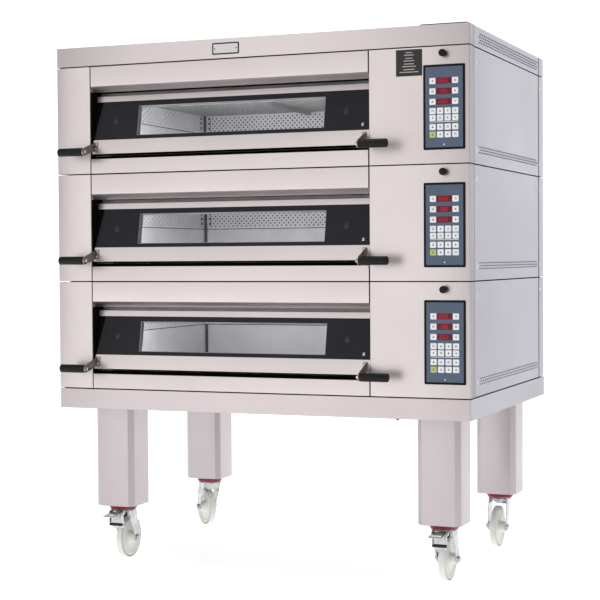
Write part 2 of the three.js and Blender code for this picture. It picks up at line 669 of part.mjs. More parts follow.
function addStand() {
  oven.add(part("base_frame", baseFrame(), STAINLESS));
  const left = LEG_INSET.left + LEG.width / 2;
  const right = WIDTH - LEG_INSET.right - LEG.width / 2;
  const front = LEG.frontY + LEG.depth / 2;
  const rear = LEG.rearY + LEG.depth / 2;
  const corners = [
    { name: "front_left", x: left, y: front, turn: 0, braked: true },
    { name: "front_right", x: right, y: front, turn: 0, braked: true },
    { name: "rear_left", x: left, y: rear, turn: REAR_TURN.left, braked: false },
    { name: "rear_right", x: right, y: rear, turn: REAR_TURN.right, braked: false },
  ];
  for (const corner of corners) {
    const post = part(`${corner.name}_leg`, leg(), STAINLESS);
    post.position.set(corner.x, corner.y, 0);
    const caster = new THREE.Group();
    caster.position.set(corner.x, corner.y, 0);
    caster.rotation.z = THREE.MathUtils.degToRad(corner.turn);
    caster.add(
      part(`${corner.name}_caster_fork`, casterFork(corner.braked), ZINC),
      part(`${corner.name}_caster_axle`, casterAxle(), ZINC),
      part(`${corner.name}_caster_wheel`, casterWheel(), NYLON),
    );
    if (corner.braked) {
      caster.add(part(`${corner.name}_brake_pedal`, brakePedal(), ZINC));
    }
    oven.add(post, caster);
  }
}

function addDeck(name, level) {
  const deck = new THREE.Group();
  deck.position.z = STAND_TOP + level * DECK_HEIGHT;
  deck.add(
    part(`${name}_outer_casing`, outerCasing(), SIDE_STEEL),
    part(`${name}_front_frame`, frontFrame(), STAINLESS),
    part(`${name}_header_panel`, headerPanel(), STAINLESS),
    part(`${name}_control_panel`, controlPanel(), MEMBRANE),
    part(`${name}_damper_knob`, damperKnob(), GRIP_PLASTIC),
    part(`${name}_baking_chamber`, bakingChamber(), CHAMBER_STEEL),
    part(`${name}_hearth_stone`, hearthStone(), STONE),
    part(`${name}_element_guard`, elementGuard(), CHAMBER_STEEL),
    part(`${name}_heating_elements`, heatingElements(), ELEMENT_STEEL),
    part(`${name}_door_panel`, doorPanel(), BLACK_ENAMEL),
    part(`${name}_door_glass`, doorGlass(), GLASS),
    part(`${name}_left_handle`, handle(-1), GRIP_PLASTIC),
    part(`${name}_right_handle`, handle(1), GRIP_PLASTIC),
  );
  oven.add(deck);
}

function addRoof() {
  const roof = new THREE.Group();
  roof.position.z = STAND_TOP + 3 * DECK_HEIGHT;
  roof.add(part("top_cap", topCap(), STAINLESS), part("roof_cover", roofCover(), BLACK_ENAMEL));
  oven.add(roof);
}

addStand();
["lower", "middle", "upper"].forEach(addDeck);
addRoof();

export default oven;
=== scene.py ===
"""The looks of a three-deck bakery oven on a castered stand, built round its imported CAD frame.

Millimetres, +Z up, front towards -Y. Sizes are read from the CAD nodes where they can be, and are named
below where they can't. A deck's pieces are drawn in the deck's own frame: x from the oven's left
side, y back from its front plane, z up from the seam under the deck. A door's pieces are drawn in
the door's own frame: x as before, y back from its face, z up from its top edge (so negative).
"""

import functools
import json
import math

import bmesh
import bpy
from mathutils import Matrix, Vector


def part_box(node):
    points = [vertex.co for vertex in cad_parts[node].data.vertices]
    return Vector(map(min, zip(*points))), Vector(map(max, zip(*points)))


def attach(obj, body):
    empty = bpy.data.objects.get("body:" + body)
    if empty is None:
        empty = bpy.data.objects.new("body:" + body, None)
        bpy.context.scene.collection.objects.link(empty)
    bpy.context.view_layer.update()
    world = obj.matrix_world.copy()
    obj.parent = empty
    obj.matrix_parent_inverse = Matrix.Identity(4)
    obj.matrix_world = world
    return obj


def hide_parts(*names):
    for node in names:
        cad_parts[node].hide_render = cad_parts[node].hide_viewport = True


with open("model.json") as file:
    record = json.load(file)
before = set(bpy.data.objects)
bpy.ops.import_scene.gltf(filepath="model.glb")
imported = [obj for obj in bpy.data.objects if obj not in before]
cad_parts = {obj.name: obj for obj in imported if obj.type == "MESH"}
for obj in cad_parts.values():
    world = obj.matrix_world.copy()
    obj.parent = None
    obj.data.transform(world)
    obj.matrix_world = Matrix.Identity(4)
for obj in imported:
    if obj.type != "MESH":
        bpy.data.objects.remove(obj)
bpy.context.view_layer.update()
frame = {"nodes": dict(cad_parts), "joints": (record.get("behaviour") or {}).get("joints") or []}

MM = 0.001                          # in metres, Blender's unit
LEVELS = ("lower", "middle", "upper")
CORNERS = ("front_left", "front_right", "rear_left", "rear_right")


# ---------------------------------------------------------------- places read from the frame

class Box:
    """A CAD node's box, seen from some origin."""

    def __init__(self, node, origin=(0, 0, 0)):
        low, high = (Vector(corner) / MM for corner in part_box(node))
        origin = Vector(origin)
        self.x0, self.y0, self.z0 = low - origin
        self.x1, self.y1, self.z1 = high - origin
        self.centre = (low + high) / 2 - origin


SEAM = 2                      # half of the dark line between two stacked modules
GAP = 0.3                     # clearance that the CAD leaves between touching pieces

stand = Box("base_frame")
OVEN_LEFT = stand.x0
OVEN_FRONT = stand.y0
WIDTH = stand.x1 - stand.x0
DEPTH = stand.y1 - stand.y0


def deck_origin(level):
    return Vector((OVEN_LEFT, OVEN_FRONT, Box(f"{level}_front_frame").z0 - SEAM))


first = deck_origin("lower")
DECK_HEIGHT = deck_origin("middle").z - first.z
header = Box("lower_header_panel", first)
front = Box("lower_front_frame", first)
panel = Box("lower_control_panel", first)
knob = Box("lower_damper_knob", first)
chamber = Box("lower_baking_chamber", first)
guard = Box("lower_element_guard", first)
hearth = Box("lower_hearth_stone", first)
casing = Box("lower_outer_casing", first)
grips = {"left": Box("lower_left_handle", first), "right": Box("lower_right_handle", first)}

PANEL_JOINT = 3               # dark line at each end of the header and the lower panel
POST_RIGHT = header.x0 - PANEL_JOINT
COLUMN_LEFT = header.x1 + PANEL_JOINT
FLANGE = casing.y0 - GAP           # how far the front frame wraps round onto the sides
SHEET = 2
LOWER_PANEL_TOP = 55.6
LIP_BACK = 30
HEADER_FACE_BOTTOM = header.z0 + 20


def door_frame():
    """The lower door's own frame, found from its glass, which lies square in it."""
    glass = frame["nodes"]["lower_door_glass"].data
    back = -max(glass.polygons, key=lambda face: face.area).normal.copy()
    if back.y < 0:
        back = -back
    up = Vector((1, 0, 0)).cross(back)
    turn = Matrix((Vector((1, 0, 0)), back, up)).transposed()
    door = [turn.transposed() @ v.co / MM for v in frame["nodes"]["lower_door_panel"].data.vertices]
    corner = Vector((0, min(p.y for p in door), max(p.z for p in door)))
    return Matrix.Translation(turn @ corner + Vector((OVEN_LEFT, 0, 0))) @ turn.to_4x4()


DOOR_TO_ROW = door_frame()


def in_door(node):
    """Lowest and highest corners of a lower-deck node, in the door's own frame."""
    points = [DOOR_TO_ROW.inverted() @ (v.co / MM) for v in frame["nodes"][node].data.vertices]
    leaf = [p for p in points if p.z < -20]
    low = Vector([min(p[i] for p in leaf) for i in range(3)])
    high = Vector([max(p[i] for p in leaf) for i in range(3)])
    return low, high


door_low, door_high = in_door("lower_door_panel")
pane_low, pane_high = in_door("lower_door_glass")
DOOR_LENGTH = -door_low.z
DOOR_THICKNESS = door_high.y
DOOR_X = (door_low.x, door_high.x)
WINDOW = (pane_low.x - GAP, pane_low.z - GAP, pane_high.x - 3.5, pane_high.z + GAP)
DOOR_RIM = (DOOR_X[0], 1 - DOOR_LENGTH, DOOR_X[1], -1)
UPPER_STRIP = 22.9            # height of the steel strip above the black panel
LOWER_STRIP = 53
FACE_STEP = 2.5               # the black panel lies this far behind the strips
FACE_REFLECTION_SLANT = 28               # how far its left end leans in towards the top, baring the near-black backing: painted dark reflection


# ---------------------------------------------------------------- mesh building

AXES = {
    "x": lambda a, b, c: (c, a, b),
    "y": lambda a, b, c: (a, c, b),
    "z": lambda a, b, c: (a, b, c),
}


def fillet(points, steps=4):
    """An outline whose corners given as (a, b, radius) are rounded."""
    outline = []
    for i, (a, b, *radius) in enumerate(points):
        if not radius:
            outline.append((a, b))
            continue
        corner = Vector((a, b))
        before = (Vector(points[i - 1][:2]) - corner).normalized()
        after = (Vector(points[(i + 1) % len(points)][:2]) - corner).normalized()
        half = before.angle(after) / 2
        centre = corner + (before + after).normalized() * radius[0] / math.sin(half)
        start = corner + before * radius[0] / math.tan(half) - centre
        end = corner + after * radius[0] / math.tan(half) - centre
        sweep = math.atan2(start.x * end.y - start.y * end.x, start.dot(end))
        for step in range(steps + 1):
            point = centre + Matrix.Rotation(sweep * step / steps, 2) @ start
            outline.append((point.x, point.y))
    return outline


def rounded_rectangle(a0, b0, a1, b1, radius, steps=4):
    return fillet([(a0, b0, radius), (a1, b0, radius), (a1, b1, radius), (a0, b1, radius)], steps)


def inset(box, margin, radius, steps=4):
    """A rounded rectangle drawn inside a box (a0, b0, a1, b1), so far from its edges."""
    a0, b0, a1, b1 = box
    return rounded_rectangle(a0 + margin, b0 + margin, a1 - margin, b1 - margin, radius, steps)


def arc(centre, radius, start, end, steps):
    """Points round a centre, from one angle to another in degrees, both included."""
    angles = [math.radians(start + (end - start) * i / steps) for i in range(steps + 1)]
    return [(centre[0] + radius * math.cos(t), centre[1] + radius * math.sin(t)) for t in angles]


def circle(centre, radius, count):
    return arc(centre, radius, 0, 360, count)[:-1]


def bridge(bm, first_ring, second_ring):
    count = len(first_ring)
    for i in range(count):
        j = (i + 1) % count
        bm.faces.new((first_ring[i], first_ring[j], second_ring[j], second_ring[i]))


def loft(bm, axis, sections, closed=False):
    """Outlines, each with its place along an axis, joined in turn: capped, or closed in a loop."""
    place = AXES[axis]
    rings = [[bm.verts.new(place(a, b, c)) for a, b in outline] for outline, c in sections]
    for low, high in zip(rings, rings[1:]):
        bridge(bm, low, high)
    if closed:
        bridge(bm, rings[-1], rings[0])
    else:
        bm.faces.new(rings[0])
        bm.faces.new(rings[-1])


def prism(bm, outline, axis, start, end, hole=None):
    """An outline drawn out along an axis. A hole has as many points as the outline."""
    sections = [(outline, start), (outline, end)]
    if hole:
        sections += [(hole, end), (hole, start)]
    loft(bm, axis, sections, closed=bool(hole))


def slab(bm, low, high):
    prism(bm, [(low[0], low[1]), (high[0], low[1]), (high[0], high[1]), (low[0], high[1])],
          "z", low[2], high[2])


def lathe(bm, profile, segments=32):
    """A profile of (radius, height) pairs turned round the z axis, closed at both ends."""
    rings = []
    for radius, height in profile:
        if radius == 0:
            rings.append([bm.verts.new((0, 0, height))])
            continue
        ring = circle((0, 0), radius, segments)
        rings.append([bm.verts.new((a, b, height)) for a, b in ring])
    for lower, upper in zip(rings, rings[1:]):
        if len(lower) == 1 or len(upper) == 1:
            tip, ring = (lower[0], upper) if len(lower) == 1 else (upper[0], lower)
            for i in range(segments):
                bm.faces.new((tip, ring[i], ring[(i + 1) % segments]))
        else:
            bridge(bm, lower, upper)
    for ring in (rings[0], rings[-1]):
        if len(ring) > 1:
            bm.faces.new(ring)


def placed(bm, matrix, build, *args, **options):
    """Builds a shape and moves it by the matrix."""
    before = len(bm.verts)
    build(bm, *args, **options)
    bm.verts.ensure_lookup_table()
    bmesh.ops.transform(bm, matrix=matrix, verts=bm.verts[before:])


def facing(direction, at):
    """The matrix that stands a shape drawn on z = 0 at a point, with its z axis along a direction."""
    turn = Vector((0, 0, 1)).rotation_difference(Vector(direction)).to_matrix().to_4x4()
    return Matrix.Translation(at) @ turn


def spin(bm, direction, at, profile, segments=32):
    """A turned profile standing on a point, with its axis along a direction."""
    placed(bm, facing(direction, at), lathe, profile, segments)


@functools.cache
def mesh_of(build, *args):
    """The mesh that a building function draws. Pieces drawn alike share one."""
    bm = bmesh.new()
    build(bm, *args)
    bmesh.ops.recalc_face_normals(bm, faces=bm.faces)
    bmesh.ops.scale(bm, vec=(MM, MM, MM), verts=bm.verts)
    mesh = bpy.data.meshes.new(build.__name__)
    bm.to_mesh(mesh)
    bm.free()
    mesh.shade_smooth()
    mesh.set_sharp_from_angle(angle=math.radians(35))
    return mesh


@functools.cache
def turned(mesh, material, turn):
    """A copy of a mesh with its material, turned for good, so that its object is only moved."""
    own = mesh.copy()
    own.transform(turn)
    own.materials.append(material)
    return own


def piece(name, mesh, material, slot, body, at=Matrix(), bevel=0.0, replaces=()):
    """A piece of the oven, riding on a CAD body."""
    turn = at.to_3x3().to_4x4()
    own = turned(mesh, material, turn.freeze())
    made = bpy.data.objects.new(name, own)
    bpy.context.scene.collection.objects.link(made)
    made.location = at.translation * MM
    if bevel:
        edge = made.modifiers.new("edges", "BEVEL")
        edge.width = bevel * MM
        edge.segments = 2
        edge.limit_method = "ANGLE"
        edge.angle_limit = math.radians(40)
        edge.harden_normals = True
    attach(made, body)
    if replaces:
        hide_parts(*replaces)
    return made


# ---------------------------------------------------------------- materials

def srgb(red, green, blue):
    """A colour given as it looks on screen, 0 to 255, as the shader wants it."""
    def linear(value):
        value /= 255
        return value / 12.92 if value <= 0.04045 else ((value + 0.055) / 1.055) ** 2.4
    return (linear(red), linear(green), linear(blue), 1)


class Surface:
    """A Principled material whose colour, roughness and relief come from noise."""

    def __init__(self, name, **sockets):
        self.material = bpy.data.materials.new(name)
        self.material.use_nodes = True
        self.tree = self.material.node_tree
        self.shader = self.tree.nodes["Principled BSDF"]
        self.fill(self.shader, sockets)

    def fill(self, node, sockets):
        """Sets a node's sockets: a value is stored, an output is linked."""
        for name, value in sockets.items():
            socket = node.inputs[name.replace("_", " ")]
            if isinstance(value, bpy.types.NodeSocket):
                self.tree.links.new(value, socket)
            else:
                socket.default_value = value

    def node(self, kind, settings=None, **sockets):
        made = self.tree.nodes.new("ShaderNode" + kind)
        for name, value in (settings or {}).items():
            setattr(made, name, value)
        self.fill(made, sockets)
        return made

    def stretched(self, stretch):
        """Object coordinates, scaled along each axis."""
        coordinates = self.node("TexCoord").outputs["Object"]
        return self.node("Mapping", Scale=stretch, Vector=coordinates).outputs["Vector"]

    def noise(self, scale, stretch=(1, 1, 1), detail=4, roughness=0.55):
        """Noise that differs from piece to piece."""
        spread = self.node("Math", {"operation": "MULTIPLY"})
        self.tree.links.new(self.node("ObjectInfo").outputs["Random"], spread.inputs[0])
        spread.inputs[1].default_value = 17
        return self.node(
            "TexNoise", {"noise_dimensions": "4D"}, Scale=scale, Detail=detail, Roughness=roughness,
            Vector=self.stretched(stretch), W=spread.outputs[0]).outputs["Fac"]

    def cells(self, scale):
        vector = self.stretched((1, 1, 1))
        return self.node("TexVoronoi", Scale=scale, Vector=vector).outputs["Distance"]

    def ramp(self, value, low, high, low_at=0.3, high_at=0.7):
        ramp = self.node("ValToRGB", Fac=value)
        for element, place, color in zip(ramp.color_ramp.elements, (low_at, high_at), (low, high)):
            element.position = place
            element.color = color
        return ramp.outputs["Color"]

    def mix(self, factor, first_color, second_color):
        mix = self.node("Mix", {"data_type": "RGBA"}, Factor=factor)
        self.tree.links.new(first_color, mix.inputs[6])
        self.tree.links.new(second_color, mix.inputs[7])
        return mix.outputs[2]

    def color(self, output):
        self.fill(self.shader, {"Base Color": output})

    def between(self, value, low, high, low_at=0.3, high_at=0.7):
        sockets = {"From Min": low_at, "From Max": high_at, "To Min": low, "To Max": high}
        return self.node("MapRange", Value=value, **sockets).outputs["Result"]

    def roughness(self, value, low, high):
        self.fill(self.shader, {"Roughness": self.between(value, low, high)})

    def relief(self, value, distance, strength=1.0):
        bump = self.node("Bump", Distance=distance * MM, Strength=strength, Height=value)
        self.fill(self.shader, {"Normal": bump.outputs["Normal"]})

    def finish(self, factor, first_shader, second_shader):
        """Ends the material in a mix of two shaders."""
        mix = self.node("MixShader", Fac=factor)
        self.tree.links.new(first_shader, mix.inputs[1])
        self.tree.links.new(second_shader, mix.inputs[2])
        self.fill(self.tree.nodes["Material Output"], {"Surface": mix.outputs["Shader"]})


def shade(color, factor):
    return (color[0] * factor, color[1] * factor, color[2] * factor, 1)


def brushed_steel(name, color, grain, low=0.3, high=0.42, tint=0.94):
    """Sheet steel with a grain along one axis, faint mottling and hand marks."""
    surface = Surface(name, Metallic=1.0)
    stretch = {"x": (1, 60, 60), "y": (60, 1, 60), "z": (60, 60, 1)}[grain]
    lines = surface.noise(14, stretch, detail=5, roughness=0.7)
    patches = surface.noise(2.2, detail=3)
    fine = surface.ramp(lines, shade(color, tint), color)
    broad = surface.ramp(lines, shade(color, tint * 0.96), shade(color, 0.98))
    surface.color(surface.mix(patches, broad, fine))
    surface.roughness(patches, low, high)
    surface.relief(lines, 0.03, 0.35)
    return surface.material


def zinc_plate(name):
    """Bright zinc: bluish and yellowish clouds over a smooth metal."""
    surface = Surface(name, Metallic=1.0)
    clouds = surface.noise(38, detail=6, roughness=0.65)
    surface.color(surface.ramp(clouds, srgb(166, 170, 176), srgb(226, 226, 222)))
    surface.roughness(clouds, 0.14, 0.26)
    surface.relief(clouds, 0.05, 0.3)
    return surface.material


def enamel(name):
    """Near-black enamel with a faint orange peel."""
    surface = Surface(name, Specular_IOR_Level=0.18)
    peel = surface.noise(320, detail=2)
    patches = surface.noise(6, detail=3)
    surface.color(surface.ramp(patches, srgb(31, 31, 36), srgb(39, 39, 45)))
    surface.roughness(patches, 0.4, 0.5)
    surface.relief(peel, 0.04, 0.4)
    return surface.material


def moulded_plastic(name, dark, light, low=0.42, high=0.55, shine=0.5):
    surface = Surface(name, Specular_IOR_Level=shine)
    texture = surface.noise(900, detail=3)
    patches = surface.noise(25, detail=3)
    surface.color(surface.ramp(patches, dark, light))
    surface.roughness(patches, low, high)
    surface.relief(texture, 0.05, 0.35)
    return surface.material


def printed_film(name, dark, light):
    """The satin film over the control panel, with a fine speckle."""
    surface = Surface(name)
    speckle = surface.noise(1400, detail=2)
    patches = surface.noise(14, detail=3)
    fine = surface.ramp(speckle, dark, light)
    broad = surface.ramp(patches, dark, light)
    surface.color(surface.mix(patches, fine, broad))
    surface.roughness(patches, 0.32, 0.42)
    surface.relief(speckle, 0.02, 0.3)
    return surface.material


def lit_window(name, dark, light, strength):
    """A dark red display window that glows faintly from within."""
    surface = Surface(name, Specular_IOR_Level=0.25, Emission_Strength=strength)
    glow = surface.noise(60, detail=2)
    color = surface.ramp(glow, dark, light)
    surface.fill(surface.shader, {"Base Color": color, "Emission Color": color})
    surface.roughness(glow, 0.15, 0.25)
    return surface.material


def oven_glass(name):
    """Clear heat glass: see-through face on, mirror-like at a glancing angle, with wiping marks."""
    surface = Surface(name)
    wipes = surface.node("TexNoise", Scale=6, Vector=surface.stretched((2, 1, 9))).outputs["Fac"]
    clear = surface.node("BsdfTransparent", Color=srgb(250, 252, 252))
    gloss = surface.node("BsdfGlossy", Color=srgb(250, 252, 255),
                         Roughness=surface.between(wipes, 0.02, 0.12, 0, 1))
    glancing = surface.node("Fresnel", IOR=1.22).outputs["Fac"]
    surface.finish(glancing, clear.outputs["BSDF"], gloss.outputs["BSDF"])
    return surface.material


def stone(name):
    """A cast refractory slab: pale, speckled and slightly open."""
    surface = Surface(name)
    speckle = surface.noise(180, detail=6, roughness=0.75)
    pores = surface.cells(420)
    surface.color(surface.ramp(speckle, srgb(112, 104, 94), srgb(160, 152, 142), 0.35, 0.65))
    surface.roughness(speckle, 0.8, 0.95)
    surface.relief(pores, 0.4, 0.5)
    return surface.material


def nylon(name):
    """Cast cream nylon, a little waxy, with faint turning marks."""
    surface = Surface(name, Subsurface_Weight=0.2, Subsurface_Scale=4 * MM,
                      Subsurface_Radius=(1, 0.8, 0.6))
    clouds = surface.noise(24, detail=4)
    scuffs = surface.noise(160, (1, 1, 6), detail=4)
    surface.color(surface.ramp(clouds, srgb(238, 237, 229), srgb(248, 247, 242)))
    surface.roughness(clouds, 0.38, 0.5)
    surface.relief(scuffs, 0.08, 0.3)
    return surface.material


def heated_steel(name, dark, light):
    """Steel that has seen heat: straw and grey clouds, dull."""
    surface = Surface(name, Metallic=0.85)
    clouds = surface.noise(7, detail=6, roughness=0.6)
    grain = surface.noise(40, (1, 30, 30), detail=4)
    surface.color(surface.ramp(clouds, dark, light))
    surface.roughness(clouds, 0.42, 0.58)
    surface.relief(grain, 0.04, 0.3)
    return surface.material


def make_materials():
    steel = srgb(216, 207, 207)
    # darker and bluer than the front steel: painted shade for the sides turned from the light
    side = srgb(180, 179, 188)
    return {
        "front": brushed_steel("front steel, grain across", steel, "x"),
        "upright": brushed_steel("front steel, grain upright", steel, "z"),
        "side": brushed_steel("side steel", side, "z", 0.34, 0.44),
        "plate": brushed_steel("badge plate", srgb(206, 204, 204), "x", 0.25, 0.35),
        # darker than the front steel: painted dark reflection on the brackets
        "bracket": brushed_steel("bracket steel", srgb(166, 156, 152), "z", 0.24, 0.34),
        "rim": brushed_steel("window rim", srgb(168, 172, 178), "x", 0.3, 0.4),
        # the stand's steel is the front's, drawn darker: painted shade under the oven
        "leg": brushed_steel("leg steel, grain upright", srgb(198, 190, 193), "z"),
        "apron": brushed_steel("apron steel, grain across", srgb(210, 200, 201), "x"),
        # the flanges are the front's own steel, drawn darker: painted shade on faces turned from the
        # light
        "flange": brushed_steel("flange steel, grain upright", srgb(158, 155, 163), "z", 0.3, 0.4),
        "chamber": heated_steel("chamber steel", srgb(206, 204, 210), srgb(232, 230, 234)),
        "guard": heated_steel("guard steel", srgb(150, 152, 154), srgb(178, 180, 182)),
        "element": heated_steel("element sheath", srgb(92, 84, 78), srgb(128, 118, 108)),
        "enamel": enamel("black enamel"),
        "grip": moulded_plastic("grip plastic", srgb(17, 16, 18), srgb(26, 24, 26), shine=0.22),
        "bezel": moulded_plastic("bezel plastic", srgb(9, 9, 14), srgb(15, 15, 22), shine=0.15),
        # near-black stand-in: painted shade in seams, joints, slots, the recess and the chamber's
        # corners, and a painted dark reflection on the door
        "dark": moulded_plastic("dark inside", srgb(7, 6, 7), srgb(12, 11, 11), 0.8, 0.9, 0.08),
        "label": moulded_plastic("label film", srgb(22, 18, 20), srgb(32, 27, 29), 0.4, 0.5),
        "print": moulded_plastic("grey print", srgb(168, 162, 158), srgb(190, 184, 180), 0.5, 0.6),
        "bolt": moulded_plastic("blackened bolt", srgb(20, 20, 24), srgb(32, 32, 37), 0.35, 0.5),
        "membrane": printed_film("membrane", srgb(68, 84, 106), srgb(84, 101, 124)),
        "key": moulded_plastic("white key", srgb(238, 239, 241), srgb(250, 250, 251), 0.3, 0.4),
        "green_key": moulded_plastic("green key", srgb(176, 190, 96), srgb(198, 208, 128), 0.3, 0.4),
        "icon": moulded_plastic("key symbol", srgb(84, 88, 98), srgb(108, 112, 122), 0.4, 0.5),
        "display": lit_window("display window", srgb(92, 8, 24), srgb(112, 13, 32), 0.05),
        "digit": lit_window("display digit", srgb(176, 28, 42), srgb(202, 44, 54), 0.3),
        "glass": oven_glass("oven glass"),
        "stone": stone("hearth stone"),
        "zinc": zinc_plate("zinc plate"),
        "nylon": nylon("cast nylon"),
        "red": moulded_plastic("red seal", srgb(150, 10, 42), srgb(176, 18, 54), 0.3, 0.42),
        "gasket": moulded_plastic("door gasket", srgb(38, 38, 40), srgb(54, 54, 56), 0.6, 0.75),
        "cap": moulded_plastic("grey dust cap", srgb(96, 96, 90), srgb(120, 120, 112), 0.5, 0.6),
        "pad": moulded_plastic("brake pad", srgb(20, 20, 22), srgb(32, 32, 34), 0.6, 0.75),
    }


mat = make_materials()


# ---------------------------------------------------------------- small fittings

def button_screw(bm, radius, height):
    """A low domed screw head with a round socket, standing on z = 0."""
    socket = radius * 0.42
    lathe(bm, [
        (0, height * 0.35), (socket, height * 0.35), (socket, height * 0.98),
        (radius * 0.7, height * 0.85), (radius * 0.93, height * 0.5), (radius, 0),
    ], 20)


def hex_bolt(bm, radius, height):
    """A hexagon head with a chamfered top on a washer, standing on z = 0."""
    washer = height * 0.2
    lathe(bm, [(radius * 1.25, 0), (radius * 1.25, washer), (0, washer)], 24)
    prism(bm, circle((0, 0), radius, 6), "z", washer, height * 0.86)
    lathe(bm, [(radius * 0.86, height * 0.86), (radius * 0.8, height), (0, height)], 24)


def louvre(bm, length, height, proud):
    """A pressed hood, open below: its length along y, standing out along z from z = 0."""
    rows = [
        (height / 2, 0.0, 0.0), (height * 0.2, proud * 0.7, height * 0.35),
        (-height * 0.2, proud, height * 0.5), (-height / 2, proud, height * 0.55),
        (-height / 2, 0.0, 0.0),
    ]
    half = length / 2
    lines = [
        [bm.verts.new((x, side * (half - taper), z)) for side in (-1, 1)] for x, z, taper in rows
    ]
    for low, high in zip(lines, lines[1:]):
        bm.faces.new((low[0], low[1], high[1], high[0]))
    bm.faces.new([line[0] for line in lines])
    bm.faces.new([line[1] for line in lines])
    bm.faces.new((lines[0][0], lines[0][1], lines[-1][1], lines[-1][0]))


# ---------------------------------------------------------------- stand

CORNER_RADIUS = 4
APRON_SHEET = 3
SEAT_INSET = 12               # how far the dark line under each module goes in


def apron_front(bm):
    """The folded front skirt of the stand's top tray, rounded at both corners."""
    fold = CORNER_RADIUS + 1
    s = APRON_SHEET
    x0, x1, y = stand.x0, stand.x1, stand.y0
    prism(bm, fillet([
        (x0, y + fold), (x0, y, CORNER_RADIUS), (x1, y, CORNER_RADIUS), (x1, y + fold),
        (x1 - s, y + fold), (x1 - s, y + s), (x0 + s, y + s), (x0 + s, y + fold),
    ]), "z", stand.z0, stand.z1 - SEAM + GAP)


def apron_sides(bm):
    """The side and rear skirts, the tray's top sheet and the hem folded in at the bottom."""
    s, hem = APRON_SHEET, 14
    bottom, top = stand.z0, stand.z1 - SEAM + GAP
    x0, x1, y0, y1 = stand.x0, stand.x1, stand.y0 + CORNER_RADIUS + 1, stand.y1
    prism(bm, fillet([
        (x0, y0), (x0, y1, CORNER_RADIUS), (x1, y1, CORNER_RADIUS), (x1, y0),
        (x1 - s, y0), (x1 - s, y1 - s), (x0 + s, y1 - s), (x0 + s, y0),
    ]), "z", bottom, top)
    front = stand.y0 + s
    slab(bm, (x0 + s, front, top - s), (x1 - s, y1 - s, top))
    outer = rounded_rectangle(x0 + s, front, x1 - s, y1 - s, 1)
    inner = rounded_rectangle(x0 + hem, front + hem, x1 - hem, y1 - hem, 1)
    prism(bm, outer, "z", bottom, bottom + s, inner)


# The seat under the lowest module, drawn near-black: painted shade in the seam.
def base_seat(bm):
    plan = (stand.x0, stand.y0, stand.x1, stand.y1)
    prism(bm, inset(plan, SEAT_INSET, CORNER_RADIUS), "z", stand.z1 - SEAM, stand.z1)


def base_rails(bm):
    """Two folded channels across the underside, each between the legs."""
    leg_box = Box("front_left_leg")
    top = stand.z1 - SEAM - 3
    width, height, wall = 40, 27, 3
    edge = leg_box.x1 - stand.x0 + 10
    for low in (stand.x0 + edge, stand.x1 - edge - width):
        channel = fillet([
            (low, top), (low, top - height, 3), (low + width, top - height, 3),
            (low + width, top), (low + width - wall, top),
            (low + width - wall, top - height + wall), (low + wall, top - height + wall),
            (low + wall, top),
        ])
        prism(bm, channel, "y", stand.y0 + 4, stand.y1 - 4)


def apron_bolt(bm):
    """The one hexagon bolt that shows under the tray's front hem."""
    at = (stand.x1 - 262, stand.y0 + 9, stand.z0)
    placed(bm, facing((0, 0, -1), at), hex_bolt, 5, 5)


def leg_shape(bm, corner):
    """A folded tube with chamfered corners and a foot plate."""
    tube = Box(f"{corner}_leg")
    half_x, half_y = (tube.x1 - tube.x0) / 2, (tube.y1 - tube.y0) / 2
    chamfer, wall = 18, 4
    bottom = Box(f"{corner}_caster_fork").z1 + 15

    def outline(margin):
        a, b, c = half_x - margin, half_y - margin, chamfer - margin * 0.6
        fold = 3
        return fillet([
            (-a + c, -b, fold), (a - c, -b, fold), (a, -b + c, fold), (a, b - c, fold),
            (a - c, b, fold), (-a + c, b, fold), (-a, b - c, fold), (-a, -b + c, fold),
        ], 3)

    prism(bm, outline(0), "z", bottom, tube.z1, outline(wall))
    prism(bm, outline(wall), "z", bottom + 1, bottom + 6)


def seal_ring(bm, top, bottom, radius):
    """The red dust seal over the swivel bearing: two lips with a groove between them."""
    lip = 1.6
    middle = (top + bottom) / 2
    lathe(bm, [
        (0, bottom), (radius - lip, bottom), (radius, bottom + lip), (radius, middle - lip),
        (radius - lip, middle - lip * 0.4), (radius - lip, middle + lip * 0.4),
        (radius, middle + lip), (radius, top - lip), (radius - lip, top), (0, top),
    ], 48)


def add_stand():
    def add(name, build, material, slot, **options):
        piece(f"stand_{name}", mesh_of(build), mat[material], slot, "oven_body", **options)

    add("apron_front", apron_front, "apron", "stainless", bevel=0.8, replaces=["base_frame"])
    add("apron_sides", apron_sides, "side", "stainless", bevel=0.8)
    add("seat", base_seat, "dark", "stainless")
    add("rails", base_rails, "side", "stainless", bevel=0.5)
    add("bolt", apron_bolt, "bolt", "zinc")
    for corner in CORNERS:
        tube = Box(f"{corner}_leg")
        at = Matrix.Translation((tube.centre.x, tube.centre.y, 0))
        piece(f"{corner}_leg_tube", mesh_of(leg_shape, corner), mat["leg"], "stainless",
              "oven_body", at, bevel=0.6, replaces=[f"{corner}_leg"])
        crown = Box(f"{corner}_caster_fork").z1
        piece(f"{corner}_seal_ring", mesh_of(seal_ring, crown + 15, crown + GAP, 52),
              mat["red"], "seal_red", "oven_body", at)


# ---------------------------------------------------------------- casters
# Drawn round the swivel axis, at floor level, with the wheel trailing to +y.

wheel = Box("front_left_caster_wheel")
fork = Box("front_left_caster_fork")
front_leg = Box("front_left_leg")
WHEEL_RADIUS = (wheel.z1 - wheel.z0) / 2
TRAIL = wheel.centre.y - front_leg.centre.y
CROWN_TOP = fork.z1
CROWN_RADIUS = 50
ARM_INNER = 34.5
ARM_THICKNESS = 4
AXLE_RADIUS = 6
PEDAL_PIN = (-56, 186)       # y and z of the brake pedal's pin
PEDAL_HALF = 25
RIM_HALF = 12
GROOVE = (9, 5.5, 1.5)  # from the tread in to its two edges, and its depth


